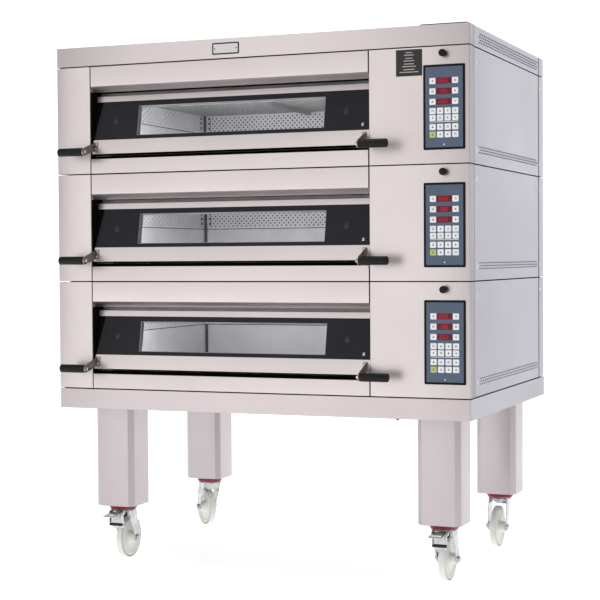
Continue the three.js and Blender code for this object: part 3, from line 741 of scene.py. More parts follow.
def caster_crown(bm):
    """Two dished plates with the ball race between them, and the kingpin's nut."""
    r = CROWN_RADIUS
    lathe(bm, [
        (0, CROWN_TOP), (r - 6, CROWN_TOP), (r - 1, CROWN_TOP - 2),
        (r, CROWN_TOP - 4), (r - 4, CROWN_TOP - 5.5),
        (r - 6, CROWN_TOP - 6.5), (r - 3, CROWN_TOP - 8),
        (r - 5, CROWN_TOP - 11), (r - 14, CROWN_TOP - 12),
        (0, CROWN_TOP - 12),
    ], 48)
    placed(bm, facing((0, 0, -1), (0, 0, CROWN_TOP - 12)), hex_bolt, 11, 7)


def arm_outline():
    half_top = 33
    boss = 16
    shoulder = CROWN_TOP - 4
    top = [(half_top, shoulder), (-half_top, shoulder)]
    return top + arc((TRAIL, WHEEL_RADIUS), boss, 180, 360, 9)


def caster_arms(bm):
    """The two pressed legs of the fork, each with a low round boss outside at the axle."""
    outline = arm_outline()
    for side in (-1, 1):
        inner, outer = side * ARM_INNER, side * (ARM_INNER + ARM_THICKNESS)
        prism(bm, outline, "x", min(inner, outer), max(inner, outer))
        spin(bm, (side, 0, 0), (outer, TRAIL, WHEEL_RADIUS), [(13, 0), (12, 1), (0, 1)])


def fold_rib(bm):
    """The folded web that joins the arms in front, under the crown."""
    top = CROWN_TOP - 11
    w = ARM_INNER + 1
    outline = fillet([
        (-w, top), (-w, top - 16, 5), (-w * 0.55, top - 26, 8),
        (w * 0.55, top - 26, 8), (w, top - 16, 5), (w, top),
    ])
    prism(bm, outline, "y", -31, -28)


def caster_wheel(bm):
    """A cast wheel: long hub, dished web and a tread with rounded shoulders."""
    hub_half = ARM_INNER - 1
    rim_half, web_half = RIM_HALF, RIM_HALF - 5
    r = WHEEL_RADIUS
    side = [
        (AXLE_RADIUS + GAP, hub_half), (9, hub_half), (17.5, hub_half - 0.5),
        (19.5, hub_half - 3), (22, web_half + 5), (27, web_half),
        (52, web_half), (58, web_half + 1), (61, rim_half - 1.5),
        (64, rim_half), (r - GROOVE[0], rim_half), (r - GROOVE[0], rim_half - GROOVE[2]),
        (r - GROOVE[1], rim_half - GROOVE[2]), (r - GROOVE[1], rim_half - 0.4),
        (r - 2, rim_half - 1.4), (r - 0.6, rim_half - 3), (r, rim_half - 6),
    ]
    section = side + [(radius, -z) for radius, z in reversed(side)]
    rings = [(circle((TRAIL, r), radius, 72), along) for radius, along in section]
    loft(bm, "x", rings, closed=True)


def groove_rings(bm):
    """Grey rings in the groove on both sides: painted shade in the groove between the tread and the
    wheel's side.
    """
    for side in (-1, 1):
        face = side * (RIM_HALF - GROOVE[2] - 0.5)
        placed(bm, facing((side, 0, 0), (face, TRAIL, WHEEL_RADIUS)), washer_ring,
               WHEEL_RADIUS - GROOVE[0] - 0.5, WHEEL_RADIUS - GROOVE[1] + 0.5, 1.1)


def washer_ring(bm, inner_radius, outer_radius, height):
    """A flat ring standing on z = 0."""
    inner = circle((0, 0), inner_radius, 72)
    prism(bm, circle((0, 0), outer_radius, 72), "z", 0, height, inner)


def hub_caps(bm):
    """Thin grey dust caps at both ends of the hub."""
    for side in (-1, 1):
        spin(bm, (side, 0, 0), (side * (ARM_INNER - 1), TRAIL, WHEEL_RADIUS),
             [(15, -2), (15, 0.2), (13.5, 0.6), (0, 0.6)])


def caster_axle(bm):
    """A through bolt: hexagon head on one side, nut and thread end on the other."""
    outer = ARM_INNER + ARM_THICKNESS + 1
    spin(bm, (1, 0, 0), (-outer, TRAIL, WHEEL_RADIUS),
         [(AXLE_RADIUS, 0), (AXLE_RADIUS, 2 * outer), (0, 2 * outer)], 24)
    for side in (-1, 1):
        at = facing((side, 0, 0), (side * outer, TRAIL, WHEEL_RADIUS))
        placed(bm, at, hex_bolt, 9.5, 6.4)
    thread = [(AXLE_RADIUS - 1, 0)]
    for i in range(4):
        thread += [(AXLE_RADIUS - 1, 2 + i), (AXLE_RADIUS - 0.4, 2.5 + i)]
    thread.append((AXLE_RADIUS - 1.5, 7))
    spin(bm, (1, 0, 0), (outer, TRAIL, WHEEL_RADIUS), thread, 24)


def pedal_sheet(bm):
    """The folded brake pedal: the tread in front, a web down to the shoe, and side cheeks."""
    y, z = PEDAL_PIN
    half, sheet, reach = PEDAL_HALF, 2.5, 62
    top = [(y + 4, z + 4), (y - reach / 2, z), (y - reach, z - 4)]
    lower = [(a, b - sheet) for a, b in reversed(top)]
    prism(bm, fillet([
        top[0], (*top[1], 30), (*top[2], 1), (*lower[0], 1), (*lower[1], 30),
        lower[2],
    ]), "x", -half, half)
    web = [
        (y - 2, z), (y - 8, z - 36), (y + 2, z - 50),
        (y + 2, z - 58), (y + 20, z - 58), (y + 20, z - 46),
        (y + 6, z - 44), (y + 1, z),
    ]
    prism(bm, web, "x", -half + 3, half - 3)
    cheek = fillet([
        (y - 8, z + 3, 2), (y - 15, z - 34, 3),
        (y + 18, z - 46, 4), (y + 5, z + 3, 3),
    ])
    for side in (-1, 1):
        prism(bm, cheek, "x", *sorted((side * (half - 2.5), side * half)))
    pin_end = half + 5
    spin(bm, (1, 0, 0), (-pin_end, y, z), [(3, 0), (3, 2 * pin_end), (0, 2 * pin_end)], 16)
    for side in (-1, 1):
        spin(bm, (side, 0, 0), (side * (half + 4), y, z), [(6.5, 0), (6.5, 1.5), (4, 3), (0, 3)], 20)


def pedal_ribs(bm):
    """Raised ribs across the tread and down the web."""
    y, z = PEDAL_PIN
    for i in range(4):
        a = y - (18 + 10 * i)
        slab(bm, (-20, a - 1.2, z - (1 + 1.1 * i)), (20, a + 1.2, z + 2.4))
    for x in (-14, 0, 14):
        placed(bm, facing((0, -1, -0.2), (x, y - 4, z - 14)), slab,
               (-2.5, -10, 0), (2.5, 8, 3))


def pedal_pad(bm):
    """The black rubber pad across the foot of the web."""
    y, z = PEDAL_PIN
    prism(bm, rounded_rectangle(y - 12, z - 47, y + 3, z - 38, 2), "x", -PEDAL_HALF, PEDAL_HALF)


def pedal_ears(bm):
    """Ears on the crown that hold the pedal's pin."""
    y, z = PEDAL_PIN
    root, boss = -34, 8
    outline = [(root, CROWN_TOP - 1), (y, z + boss)] + arc((y, z), boss, 110, 270, 8)
    outline.append((root, CROWN_TOP - 12))
    for side in (-1, 1):
        prism(bm, outline, "x", *sorted((side * (PEDAL_HALF + 1), side * (PEDAL_HALF + 4))))


def caster_place(corner):
    """The swivel axis at floor level, turned so that +y runs towards the hub."""
    axis = Box(f"{corner}_leg").centre
    hub = Box(f"{corner}_caster_wheel").centre
    turn = math.atan2(axis.x - hub.x, hub.y - axis.y)
    return Matrix.Translation((axis.x, axis.y, 0)) @ Matrix.Rotation(turn, 4, "Z")


def add_caster(corner):
    at = caster_place(corner)

    def add(name, build, material, slot, body, bevel=0.0, replaces=()):
        nodes = [f"{corner}_{node}" for node in replaces]
        piece(f"{corner}_{name}", mesh_of(build), mat[material], slot, f"{corner}_{body}", at,
              bevel, nodes)

    add("crown", caster_crown, "zinc", "zinc", "swivel", replaces=["caster_fork"])
    add("fork_arms", caster_arms, "zinc", "zinc", "swivel", 0.8)
    add("fork_web", fold_rib, "zinc", "zinc", "swivel", 0.6)
    add("axle_bolt", caster_axle, "zinc", "zinc", "swivel", replaces=["caster_axle"])
    add("tread", caster_wheel, "nylon", "nylon", "wheel", replaces=["caster_wheel"])
    add("hub_caps", hub_caps, "cap", "black_plastic", "wheel")
    add("groove_rings", groove_rings, "cap", "black_plastic", "wheel")
    if corner.startswith("front"):
        add("pedal_ears", pedal_ears, "zinc", "zinc", "swivel", 0.5)
        add("pedal_sheet", pedal_sheet, "zinc", "zinc", "pedal", 0.5, ["brake_pedal"])
        add("pedal_ribs", pedal_ribs, "zinc", "zinc", "pedal", 0.4)
        add("brake_pad", pedal_pad, "pad", "black_plastic", "pedal")


# ---------------------------------------------------------------- deck: shell and front

RECESS = front.y1                      # depth of the recess that the door stands in
DECK_TOP = DECK_HEIGHT - SEAM
EDGE_RADIUS = 2.4


def upright(outer, inner):
    """Plan of a folded front post: the face, its rounded outer edge and the recess wall."""
    side = math.copysign(1, inner - outer)
    s = SHEET * side
    return fillet([
        (outer, EDGE_RADIUS + 1), (outer, 0, EDGE_RADIUS), (inner, 0, 2.5), (inner, RECESS),
        (inner - s, RECESS), (inner - s, SHEET, 1), (outer + s, SHEET, 0.3),
        (outer + s, EDGE_RADIUS + 1),
    ])


def front_posts(bm):
    prism(bm, upright(0, POST_RIGHT), "z", SEAM, DECK_TOP)
    prism(bm, upright(WIDTH, COLUMN_LEFT), "z", SEAM, DECK_TOP)


def front_flanges(bm, top):
    """The part of the front that wraps round onto the oven's sides."""
    for outer, side in ((0, 1), (WIDTH, -1)):
        low, high = sorted((outer, outer + SHEET * side))
        slab(bm, (low, EDGE_RADIUS + 1, SEAM), (high, FLANGE, top))


def recess_liners(bm):
    """Near-black strips down the recess's side walls and across the sill: painted shade in the recess
    and in the gap under the door.
    """
    start = 5
    for x, side in ((POST_RIGHT, 1), (COLUMN_LEFT, -1)):
        low, high = sorted((x, x + 0.8 * side))
        slab(bm, (low, start, LOWER_PANEL_TOP), (high, RECESS, header.z0))
    sill = LOWER_PANEL_TOP
    back = chamber.y0 - GAP
    slab(bm, (POST_RIGHT, 1.5, sill), (COLUMN_LEFT, back, sill + 0.6))
    slab(bm, (POST_RIGHT, back - 1.6, sill), (COLUMN_LEFT, back, sill + 11))


def lower_panel(bm):
    """The folded panel under the door, with its sill running back to the hearth."""
    x0, x1 = header.x0, header.x1
    top = LOWER_PANEL_TOP
    face = fillet([
        (0, SEAM), (0, top, 1), (45, top), (45, top - SHEET),
        (SHEET, top - SHEET, 1), (SHEET, SEAM),
    ])
    prism(bm, face, "x", x0, x1)


def recess_rail(bm):
    """The cross rail behind the header, and the recess's roof behind the lip, drawn near-black: painted
    shade up in the recess.
    """
    slab(bm, (POST_RIGHT, RECESS - 4, header.z0 - GAP), (COLUMN_LEFT, RECESS, DECK_TOP))


def header_box(bm):
    """A box section whose underside slopes back from the face to the door."""
    back = header.y1
    outline = fillet([
        (0, HEADER_FACE_BOTTOM, 2.5), (LIP_BACK, header.z0, 2), (back, header.z0),
        (back, DECK_TOP), (0, DECK_TOP, 1.5),
    ])
    prism(bm, outline, "x", header.x0, header.x1)


def lip_seal(bm):
    """A near-black strip along the flat of the header's underside: painted shade under the lip."""
    slab(bm, (header.x0, LIP_BACK + 1, header.z0 - 0.25),
         (header.x1, header.y1 - 1, header.z0 + 1))


def hinge_bushings(bm):
    """Steel bushings on the recess walls that carry the door's pins."""
    pin = hinge_axis()
    for x, side in ((POST_RIGHT, 1), (COLUMN_LEFT, -1)):
        spin(bm, (side, 0, 0), (x, pin.y, pin.z), [(9, -1), (9, 2.4), (7.5, 3.2), (0, 3.2)], 28)


def hinge_axis():
    """A point on the lower door's hinge line, in the deck's frame."""
    joint = next(j for j in frame["joints"] if j["name"] == "lower_door_hinge")
    return Vector(joint["pos_m"]) / MM - first


LOUVRE = {
    "length": 20, "height": 5, "proud": 1.4, "pitch": 27.5, "row": 9.8,
    "slot": 3,
    "y0": 120, "y1": 984,
}


def louvre_places(low_z, rows):
    """(y, z) of each louvre in a band of staggered rows."""
    places = []
    for row in range(rows):
        offset = LOUVRE["pitch"] / 2 * (row % 2)
        y = LOUVRE["y0"] + LOUVRE["length"] / 2 + offset
        while y + LOUVRE["length"] / 2 <= LOUVRE["y1"]:
            places.append((y, low_z + row * LOUVRE["row"]))
            y += LOUVRE["pitch"]
    return places


def louvre_hoods(bm, low_z, rows):
    for x, turn in ((casing.x1, 0), (casing.x0, math.pi)):
        for y, z in louvre_places(low_z, rows):
            stand_out = Matrix.Rotation(turn, 4, "Z") @ Matrix(
                ((0, 0, 1, 0), (0, 1, 0, 0), (1, 0, 0, 0), (0, 0, 0, 1)))
            placed(bm, Matrix.Translation((x, y, z)) @ stand_out, louvre,
                   LOUVRE["length"], LOUVRE["height"], LOUVRE["proud"])


def louvre_slots(bm, low_z, rows):
    """Near-black slabs under the hoods: painted shade standing in for the openings."""
    half = LOUVRE["length"] / 2 - 1
    for x, side in ((casing.x1, 1), (casing.x0, -1)):
        low_x, high_x = sorted((x - side * 0.6, x + side * 0.2))
        for y, z in louvre_places(low_z, rows):
            top = z - LOUVRE["height"] / 2
            slab(bm, (low_x, y - half, top - LOUVRE["slot"]), (high_x, y + half, top))


REAR_STRIP = DEPTH - 76
SIDE_JOINT = 11                   # dark gap at each upright edge of a side panel
SIDE_FRONT = FLANGE + SIDE_JOINT
FOLD = 14                         # how far a panel's edges are folded in


def side_panels(bm, top):
    """The two side panels, their upright edges folded in."""
    for x, side in ((casing.x1, 1), (casing.x0, -1)):
        back = REAR_STRIP - SIDE_JOINT
        s = SHEET * side
        outline = fillet([
            (x, SIDE_FRONT, 1), (x, back, 1), (x - FOLD * side, back),
            (x - FOLD * side, back - SHEET), (x - s, back - SHEET),
            (x - s, SIDE_FRONT + SHEET), (x - FOLD * side, SIDE_FRONT + SHEET),
            (x - FOLD * side, SIDE_FRONT),
        ])
        prism(bm, outline, "z", SEAM, top)


def back_wrap(bm, top):
    """The back sheet, folded round both rear corners."""
    x0, x1, back = casing.x0, casing.x1, casing.y1
    radius = 4
    outline = fillet([
        (x0, REAR_STRIP, 1), (x0, back, radius), (x1, back, radius), (x1, REAR_STRIP, 1),
        (x1 - FOLD, REAR_STRIP), (x1 - FOLD, REAR_STRIP + SHEET), (x1 - SHEET, REAR_STRIP + SHEET),
        (x1 - SHEET, back - SHEET), (x0 + SHEET, back - SHEET), (x0 + SHEET, REAR_STRIP + SHEET),
        (x0 + FOLD, REAR_STRIP + SHEET), (x0 + FOLD, REAR_STRIP),
    ])
    prism(bm, outline, "z", SEAM, top)


def joint_backing(bm, top):
    """A near-black frame seen through the joints at both ends of the side panels: painted shade in the
    joints.
    """
    for x, side in ((casing.x1, 1), (casing.x0, -1)):
        low_x, high_x = sorted((x - side * 6, x - side * 0.5))
        for y in (FLANGE, REAR_STRIP - SIDE_JOINT):
            slab(bm, (low_x, y - 1, SEAM + 1), (high_x, y + SIDE_JOINT + 1, top - 1))


def seat(bm, low, high):
    slab(bm, (SEAT_INSET, FLANGE + SEAT_INSET, low),
         (WIDTH - SEAT_INSET, DEPTH - SEAT_INSET, high))


def seam_seats(bm):
    """The plates between stacked decks, seen only as the bottom of the dark line, drawn near-black:
    painted shade in the seam.
    """
    for low, high in ((0.1, SEAM + 1), (DECK_TOP - 1, DECK_HEIGHT - 0.1)):
        seat(bm, low, high)


SCREW_ROWS = (50, DECK_HEIGHT - 48)


def casing_screws(bm):
    # drawn in the white key material: painted highlights on the domed zinc heads
    for x, side in ((casing.x1, 1), (casing.x0, -1)):
        for y in (92, REAR_STRIP + 12):
            for z in SCREW_ROWS:
                placed(bm, facing((side, 0, 0), (x, y, z)), button_screw, 8, 1.8)
    for x in (60, WIDTH / 2, WIDTH - 60):
        for z in SCREW_ROWS:
            placed(bm, facing((0, 1, 0), (x, casing.y1 - 0.4, z)), button_screw,
                   6.5, 0.4)


# ---------------------------------------------------------------- deck: control column

PANEL_BOX = (panel.x0, panel.z0, panel.x1, panel.z1)
BEZEL = 7.5
FILM_FRONT = panel.y0 + 0.8
KEY = (21.5, 20.5)
KEY_PITCH = 26.4
KEY_LEFT = 22
KEY_ROWS = (40.5, 66, 96.5, 120)       # bottom edges, from the panel's own
DISPLAY_ROWS = (151, 186, 221)
DIGITS = ("250", "185", "030")
SEGMENTS = {
    "0": "abcdef", "1": "bc", "2": "abdeg", "3": "abcdg", "5": "acdfg", "8": "abcdefg",
}


def panel_bezel(bm):
    prism(bm, inset(PANEL_BOX, 0, 4), "y", panel.y0, panel.y1, inset(PANEL_BOX, BEZEL, 2))


def panel_film(bm):
    prism(bm, inset(PANEL_BOX, BEZEL, 2), "y", FILM_FRONT, panel.y1)


def key_box(column, low):
    x0 = panel.x0 + KEY_LEFT + column * KEY_PITCH
    z0 = panel.z0 + low
    return x0, z0, x0 + KEY[0], z0 + KEY[1]


def raised_pad(bm, x0, z0, x1, z1, proud=0.5):
    """A key's domed pad on the film."""
    pad = (x0, z0, x1, z1)
    loft(bm, "y", [
        (inset(pad, 0, 2), FILM_FRONT), (inset(pad, 0, 2), FILM_FRONT - proud * 0.5),
        (inset(pad, 1, 1.5), FILM_FRONT - proud),
    ])


def white_key_places():
    places = [(column, low) for low in DISPLAY_ROWS for column in (0, 3)]
    for row, low in enumerate(KEY_ROWS):
        places += [(column, low) for column in range(4) if (row, column) != (0, 0)]
    return places


def white_keys(bm):
    for column, low in white_key_places():
        raised_pad(bm, *key_box(column, low))


def green_key(bm):
    raised_pad(bm, *key_box(0, KEY_ROWS[0]))


def divider_line(bm):
    z = panel.z0 + KEY_ROWS[2] - 4.2
    x0 = panel.x0 + KEY_LEFT
    slab(bm, (x0, FILM_FRONT - 0.2, z), (x0 + 3 * KEY_PITCH + KEY[0], FILM_FRONT, z + 2))


def status_lamp(bm):
    at = (panel.x0 + 73, FILM_FRONT, panel.z0 + 17)
    spin(bm, (0, -1, 0), at, [(2.5, 0), (2.2, 0.5), (1, 0.8), (0, 0.8)], 20)


def display_windows(bm):
    for low in DISPLAY_ROWS:
        x0, z0, _, z1 = key_box(1, low)
        _, _, x1, _ = key_box(2, low)
        raised_pad(bm, x0 - 3.5, z0, x1 + 3, z1, 0.25)


def seven_segments(bm, text, x0, z0, width, height):
    """Digits as seven bars each, a generic reading."""
    bar = 1.5
    step = width * 1.45
    y = FILM_FRONT - 0.45
    for i, digit in enumerate(text):
        left = x0 + i * step
        middle, top = z0 + height / 2, z0 + height
        bars = {
            "a": (left, top - bar, left + width, top), "d": (left, z0, left + width, z0 + bar),
            "g": (left, middle - bar / 2, left + width, middle + bar / 2),
            "f": (left, middle, left + bar, top), "e": (left, z0, left + bar, middle),
            "b": (left + width - bar, middle, left + width, top),
            "c": (left + width - bar, z0, left + width, middle),
        }
        for name in SEGMENTS[digit]:
            a0, b0, a1, b1 = bars[name]
            slab(bm, (a0, y, b0), (a1, y + 0.3, b1))


def display_digits(bm):
    for low, text in zip(DISPLAY_ROWS, DIGITS):
        x0, z0, _, _ = key_box(1, low)
        seven_segments(bm, text, x0 + 6, z0 + 4, 7.5, 12.5)


def key_symbols(bm):
    """A plain mark on each key: an arrow, a ring of bars or a dash, with no meaning of its own."""
    y0 = FILM_FRONT - 0.58
    y1 = FILM_FRONT - 0.42
    for i, (column, low) in enumerate(white_key_places() + [(0, KEY_ROWS[0])]):
        ax, az, bx, bz = key_box(column, low)
        cx, cz = (ax + bx) / 2, (az + bz) / 2
        r = 4
        if i % 3 == 0:
            prism(bm, [(cx - r, cz - r * 0.7), (cx + r, cz - r * 0.7), (cx, cz + r)], "y", y0, y1)
        elif i % 3 == 1:
            slab(bm, (cx - r, y0, cz - 0.8), (cx + r, y1, cz + 0.8))
            slab(bm, (cx - 0.8, y0, cz - r), (cx + 0.8, y1, cz + r))
        else:
            inner = circle((cx, cz), r * 0.6, 12)
            prism(bm, circle((cx, cz), r, 12), "y", y0, y1, inner)


KNOB_AXIS = (knob.centre.x, 0, knob.centre.z)


def knob_body(bm):
    """A turned plastic knob: rounded cap on a narrower neck."""
    r = (knob.x1 - knob.x0) / 2
    face = knob.y0
    profile = [
        (0, -face), (r - 3, -face), (r - 1, -face - 0.8), (r, -face - 2.6),
        (r, -face - 14), (r - 1.5, -face - 16.5), (7.5, -face - 18),
        (6.2, -face - 20), (6.2, 8), (8, 4), (8, 3),
        (0, 3),
    ]
    spin(bm, (0, -1, 0), KNOB_AXIS, profile, 36)


def knob_rod(bm):
    spin(bm, (0, -1, 0), KNOB_AXIS, [(0, -knob.y1), (4, -knob.y1), (4, 3.4), (0, 3.4)], 20)


def knob_escutcheon(bm):
    """The washer round the knob's rod."""
    spin(bm, (0, -1, 0), KNOB_AXIS, [(0, 0), (10, 0), (9.4, 0.9), (4.6, 1.1), (0, 1.1)])


# ---------------------------------------------------------------- deck: door

def strip_upper(bm):
    """The steel strip over the black panel, folded back over the door's top."""
    u = UPPER_STRIP
    outline = fillet([
        (0, -u), (0, 0, 2), (DOOR_THICKNESS, 0, 1), (DOOR_THICKNESS, -SHEET),
        (SHEET + 1, -SHEET, 1), (SHEET + 1, -u),
    ])
    prism(bm, outline, "x", *DOOR_X)


def strip_lower(bm):
    """The steel strip under the black panel, folded back under the door."""
    top = -DOOR_LENGTH + LOWER_STRIP
    low = -DOOR_LENGTH
    outline = fillet([
        (0, top), (0, low, 1.2), (DOOR_THICKNESS, low, 1),
        (DOOR_THICKNESS, low + SHEET), (SHEET + 1, low + SHEET, 1), (SHEET + 1, top),
    ])
    prism(bm, outline, "x", *DOOR_X)


def window_ring(bm, margin_out, margin_in, y0, y1, radius=2):
    """A flat ring round the window: so far outside its edge and so far inside it."""
    prism(bm, inset(WINDOW, -margin_out, radius), "y", y0, y1, inset(WINDOW, margin_in, radius))


def face_panel(bm):
    top = -UPPER_STRIP
    bottom = -DOOR_LENGTH + LOWER_STRIP
    corner = 0.6
    # the slanted left end bares the near-black backing sheet: painted dark reflection
    outer = fillet([
        (DOOR_X[0], bottom, corner), (DOOR_X[1], bottom, corner), (DOOR_X[1], top, corner),
        (DOOR_X[0] + FACE_REFLECTION_SLANT, top, corner),
    ])
    prism(bm, outer, "y", FACE_STEP, FACE_STEP + 3, inset(WINDOW, 0, 3))


def face_backing(bm):
    """The near-black sheet behind the face panel's slanted left end: a painted dark reflection of the
    recess wall in the glossy panel.
    """
    slab(bm, (DOOR_X[0] + 0.5, FACE_STEP + 3.1, -DOOR_LENGTH + LOWER_STRIP - 4),
         (DOOR_X[0] + FACE_REFLECTION_SLANT + 12, FACE_STEP + 4, -UPPER_STRIP + 4))


def door_heat_strip(bm):
    """A near-black strip along the door's lower edge, behind the steel fold: painted shade in the gap
    under the door.
    """
    slab(bm, (DOOR_X[0] + 1, 3, -DOOR_LENGTH - 0.4),
         (DOOR_X[1] - 1, DOOR_THICKNESS, -DOOR_LENGTH + 0.4))


def door_walls(bm):
    """The closed rim of the hollow door."""
    prism(bm, inset(DOOR_RIM, 0, 1), "y", FACE_STEP + 4.2, DOOR_THICKNESS - 0.5,
          inset(DOOR_RIM, 3, 1))


def door_liner(bm):
    """The door's inner sheet, open at the window."""
    prism(bm, inset(DOOR_RIM, 1, 2), "y", DOOR_THICKNESS - 2, DOOR_THICKNESS,
          inset(WINDOW, 2, 3))


def window_frame(bm):
    """The bright inner frame that holds the outer pane, and the spacer between the panes."""
    pane_front, pane_back = pane_low.y, pane_high.y
    window_ring(bm, -0.2, 1.4, FACE_STEP + 0.8, pane_front - GAP)
    window_ring(bm, -0.2, 3, pane_back + GAP, DOOR_THICKNESS - 6.5)


def pane(bm, front_y, back_y):
    prism(bm, inset(WINDOW, GAP, 2), "y", front_y, back_y)


def door_gasket(bm):
    """A soft bead round the mouth, on the back of the door."""
    bead = (guard.x0 - 16, 12 - DOOR_LENGTH, guard.x1 + 16, -12)
    y, proud = DOOR_THICKNESS, 3.6
    loft(bm, "y", [
        (inset(bead, 0, 12, 6), y), (inset(bead, 2, 10, 6), y + proud),
        (inset(bead, 6, 7, 6), y + proud), (inset(bead, 8, 6, 6), y),
    ], closed=True)


def door_bolts(bm):
    """Two low round caps on the black panel."""
    for x in (230, 1138):
        spin(bm, (0, -1, 0), (x, FACE_STEP, -96), [
            (14, 0), (13.6, 1.2), (11, 2), (10, 2), (9.6, 3.6), (7, 4.8), (3, 5), (0, 5)], 36)


def door_screw(bm):
    at = facing((0, -1, 0), (1200, FACE_STEP, -DOOR_LENGTH + LOWER_STRIP + 20))
    placed(bm, at, button_screw, 6, 3)


def door_pins(bm):
    """The round pins at the door's upper corners."""
    pin = DOOR_TO_ROW.inverted() @ (hinge_axis() + first)
    for x, side in ((DOOR_X[0], -1), (DOOR_X[1], 1)):
        spin(bm, (side, 0, 0), (x, pin.y, pin.z), [(4, -6), (4, 8), (0, 8)], 20)


def handle_side(side):
    """x of the middle of the bracket's cheek, and the outward direction."""
    return (DOOR_X[0] + 6, -1) if side == "left" else (DOOR_X[1] - 12, 1)


# Handles are drawn in the deck's frame, because their grips run level.
GRIP_RADIUS = 15
GRIP_LENGTH = 103
BRACKET_SHEET = 4
BRACKET_LOW, BRACKET_HIGH = 84, 118   # where the cheek meets the strip
FOOT_SHEET = 3
FOOT_WIDTH = 14
DOOR_SLOPE = math.tan(math.asin(DOOR_TO_ROW[1][2]))


def grip_centre(side):
    """y and z of a grip's axis."""
    return grips[side].y0 + GRIP_RADIUS, grips[side].z0 + GRIP_RADIUS


def face_at(z):
    """y of the lower strip's face at a height in the deck's frame."""
    top = DOOR_TO_ROW.translation - first
    return top.y + (z - top.z) * DOOR_SLOPE - GAP


def handle_bracket(bm, side):
    """A cheek standing out from the door with a screwed foot along the strip."""
    x, out = handle_side(side)
    low, high = BRACKET_LOW, BRACKET_HIGH
    cheek = [(face_at(low), low), (face_at(high), high)]
    cheek += arc(grip_centre(side), GRIP_RADIUS - 1, 100, 270, 10)
    prism(bm, cheek, "x", x - BRACKET_SHEET / 2, x + BRACKET_SHEET / 2)
    low, high = low - 1, high + 1
    foot = [
        (face_at(low), low), (face_at(high), high),
        (face_at(high) - FOOT_SHEET, high), (face_at(low) - FOOT_SHEET, low),
    ]
    prism(bm, foot, "x", *sorted((x, x - out * FOOT_WIDTH)))


def handle_screws(bm, side):
    """Two screws through the foot, and the nut on the grip's end."""
    x, out = handle_side(side)
    normal = Vector((0, -1, DOOR_SLOPE)).normalized()
    for z in (BRACKET_LOW + 8, BRACKET_HIGH - 8):
        at = facing(normal, (x - out * 8, face_at(z) - FOOT_SHEET, z))
        placed(bm, at, button_screw, 3.6, 2)
    inner = (x - out * BRACKET_SHEET / 2, *grip_centre(side))
    placed(bm, facing((-out, 0, 0), inner), hex_bolt, 6.5, 8)


def handle_grip(bm, side):
    """A round moulded grip with a collar at the bracket and a rounded end."""
    x, out = handle_side(side)
    start = (x + out * BRACKET_SHEET / 2, *grip_centre(side))
    r, length = GRIP_RADIUS, GRIP_LENGTH
    spin(bm, (out, 0, 0), start, [
        (0, 0), (r - 2.5, 0), (r - 2.5, 3), (r - 0.5, 4), (r, 6),
        (r, length - 4), (r - 0.6, length - 2), (r - 2, length - 0.6),
        (r - 4, length), (5, length), (5, length - 1.5), (0, length - 1.5),
    ], 40)


# ---------------------------------------------------------------- deck: inside

GUARD_PITCH = (15, 15)       # between holes, and between their staggered rows
BAFFLE_PITCH = (20, 10)
SIDE_BAFFLE_PITCH = (36, 10)
HOLE_RADIUS = 3.6


def perforated(bm, x0, x1, y0, y1, z, thickness, pitch):
    """A flat sheet drilled with staggered round holes, solid round its border."""
    border = 4
    columns = int((x1 - x0 - 2 * border) / pitch[0])
    rows = int((y1 - y0 - 2 * border) / pitch[1])
    left = (x0 + x1 - columns * pitch[0]) / 2
    low = (y0 + y1 - rows * pitch[1]) / 2
    half = (pitch[0] / 2, pitch[1] / 2)
    verts = {}

    def corner(a, b, top):
        key = (round(a / half[0] * 4), round(b / half[1] * 4), top)
        if key not in verts:
            verts[key] = bm.verts.new((left + a, low + b, z + thickness * top))
        return verts[key]

    rim = ((1, 0), (1, 1), (0, 1), (-1, 1), (-1, 0), (-1, -1), (0, -1), (1, -1))
    for row in range(rows):
        shift = half[0] * (row % 2)
        for column in range(columns - row % 2):
            cx = half[0] + column * pitch[0] + shift
            cy = half[1] + row * pitch[1]
            holes = []
            for top in (0, 1):
                outer = [corner(cx + a * half[0], cy + b * half[1], top) for a, b in rim]
                hole = [
                    bm.verts.new((a, b, z + thickness * top))
                    for a, b in circle((left + cx, low + cy), HOLE_RADIUS, 8)
                ]
                bridge(bm, outer, hole)
                holes.append(hole)
            bridge(bm, *holes)
    slab(bm, (x0, y0, z), (left, y1, z + thickness))
    right = left + columns * pitch[0]
    slab(bm, (right, y0, z), (x1, y1, z + thickness))
    slab(bm, (left, y0, z), (right, low, z + thickness))
    slab(bm, (left, low + rows * pitch[1], z), (right, y1, z + thickness))


def guard_panels(bm):
    """Two perforated panels under the upper elements."""
    middle = (guard.x0 + guard.x1) / 2
    for x0, x1 in ((guard.x0, middle - 9), (middle + 9, guard.x1)):
        perforated(bm, x0, x1, guard.y0, guard.y1, guard.z0, 1.5, GUARD_PITCH)


def guard_frame(bm):
    """Flanges that hang the panels, and the divider between them."""
    middle = (guard.x0 + guard.x1) / 2
    for y in (guard.y0, guard.y1 - SHEET):
        slab(bm, (guard.x0, y, guard.z0 + 1.6), (guard.x1, y + SHEET, guard.z1))
    slab(bm, (middle - 12, guard.y0 + 3, guard.z0 - 3),
         (middle + 12, guard.y1 - 3, guard.z0 - 0.2))
    slab(bm, (middle - 2, guard.y0 + 3, guard.z0 - 16),
         (middle + 2, guard.y1 - 3, guard.z0 - 3))


BAFFLE_GAP = 11                   # dark space between a baffle and the chamber's wall
BAFFLE_TOP = guard.z0 - 1
BAFFLE_BOTTOM = hearth.z1 + 2
BAFFLE_SPLIT = 206                # the drilled sheets stand above this, plain ones below


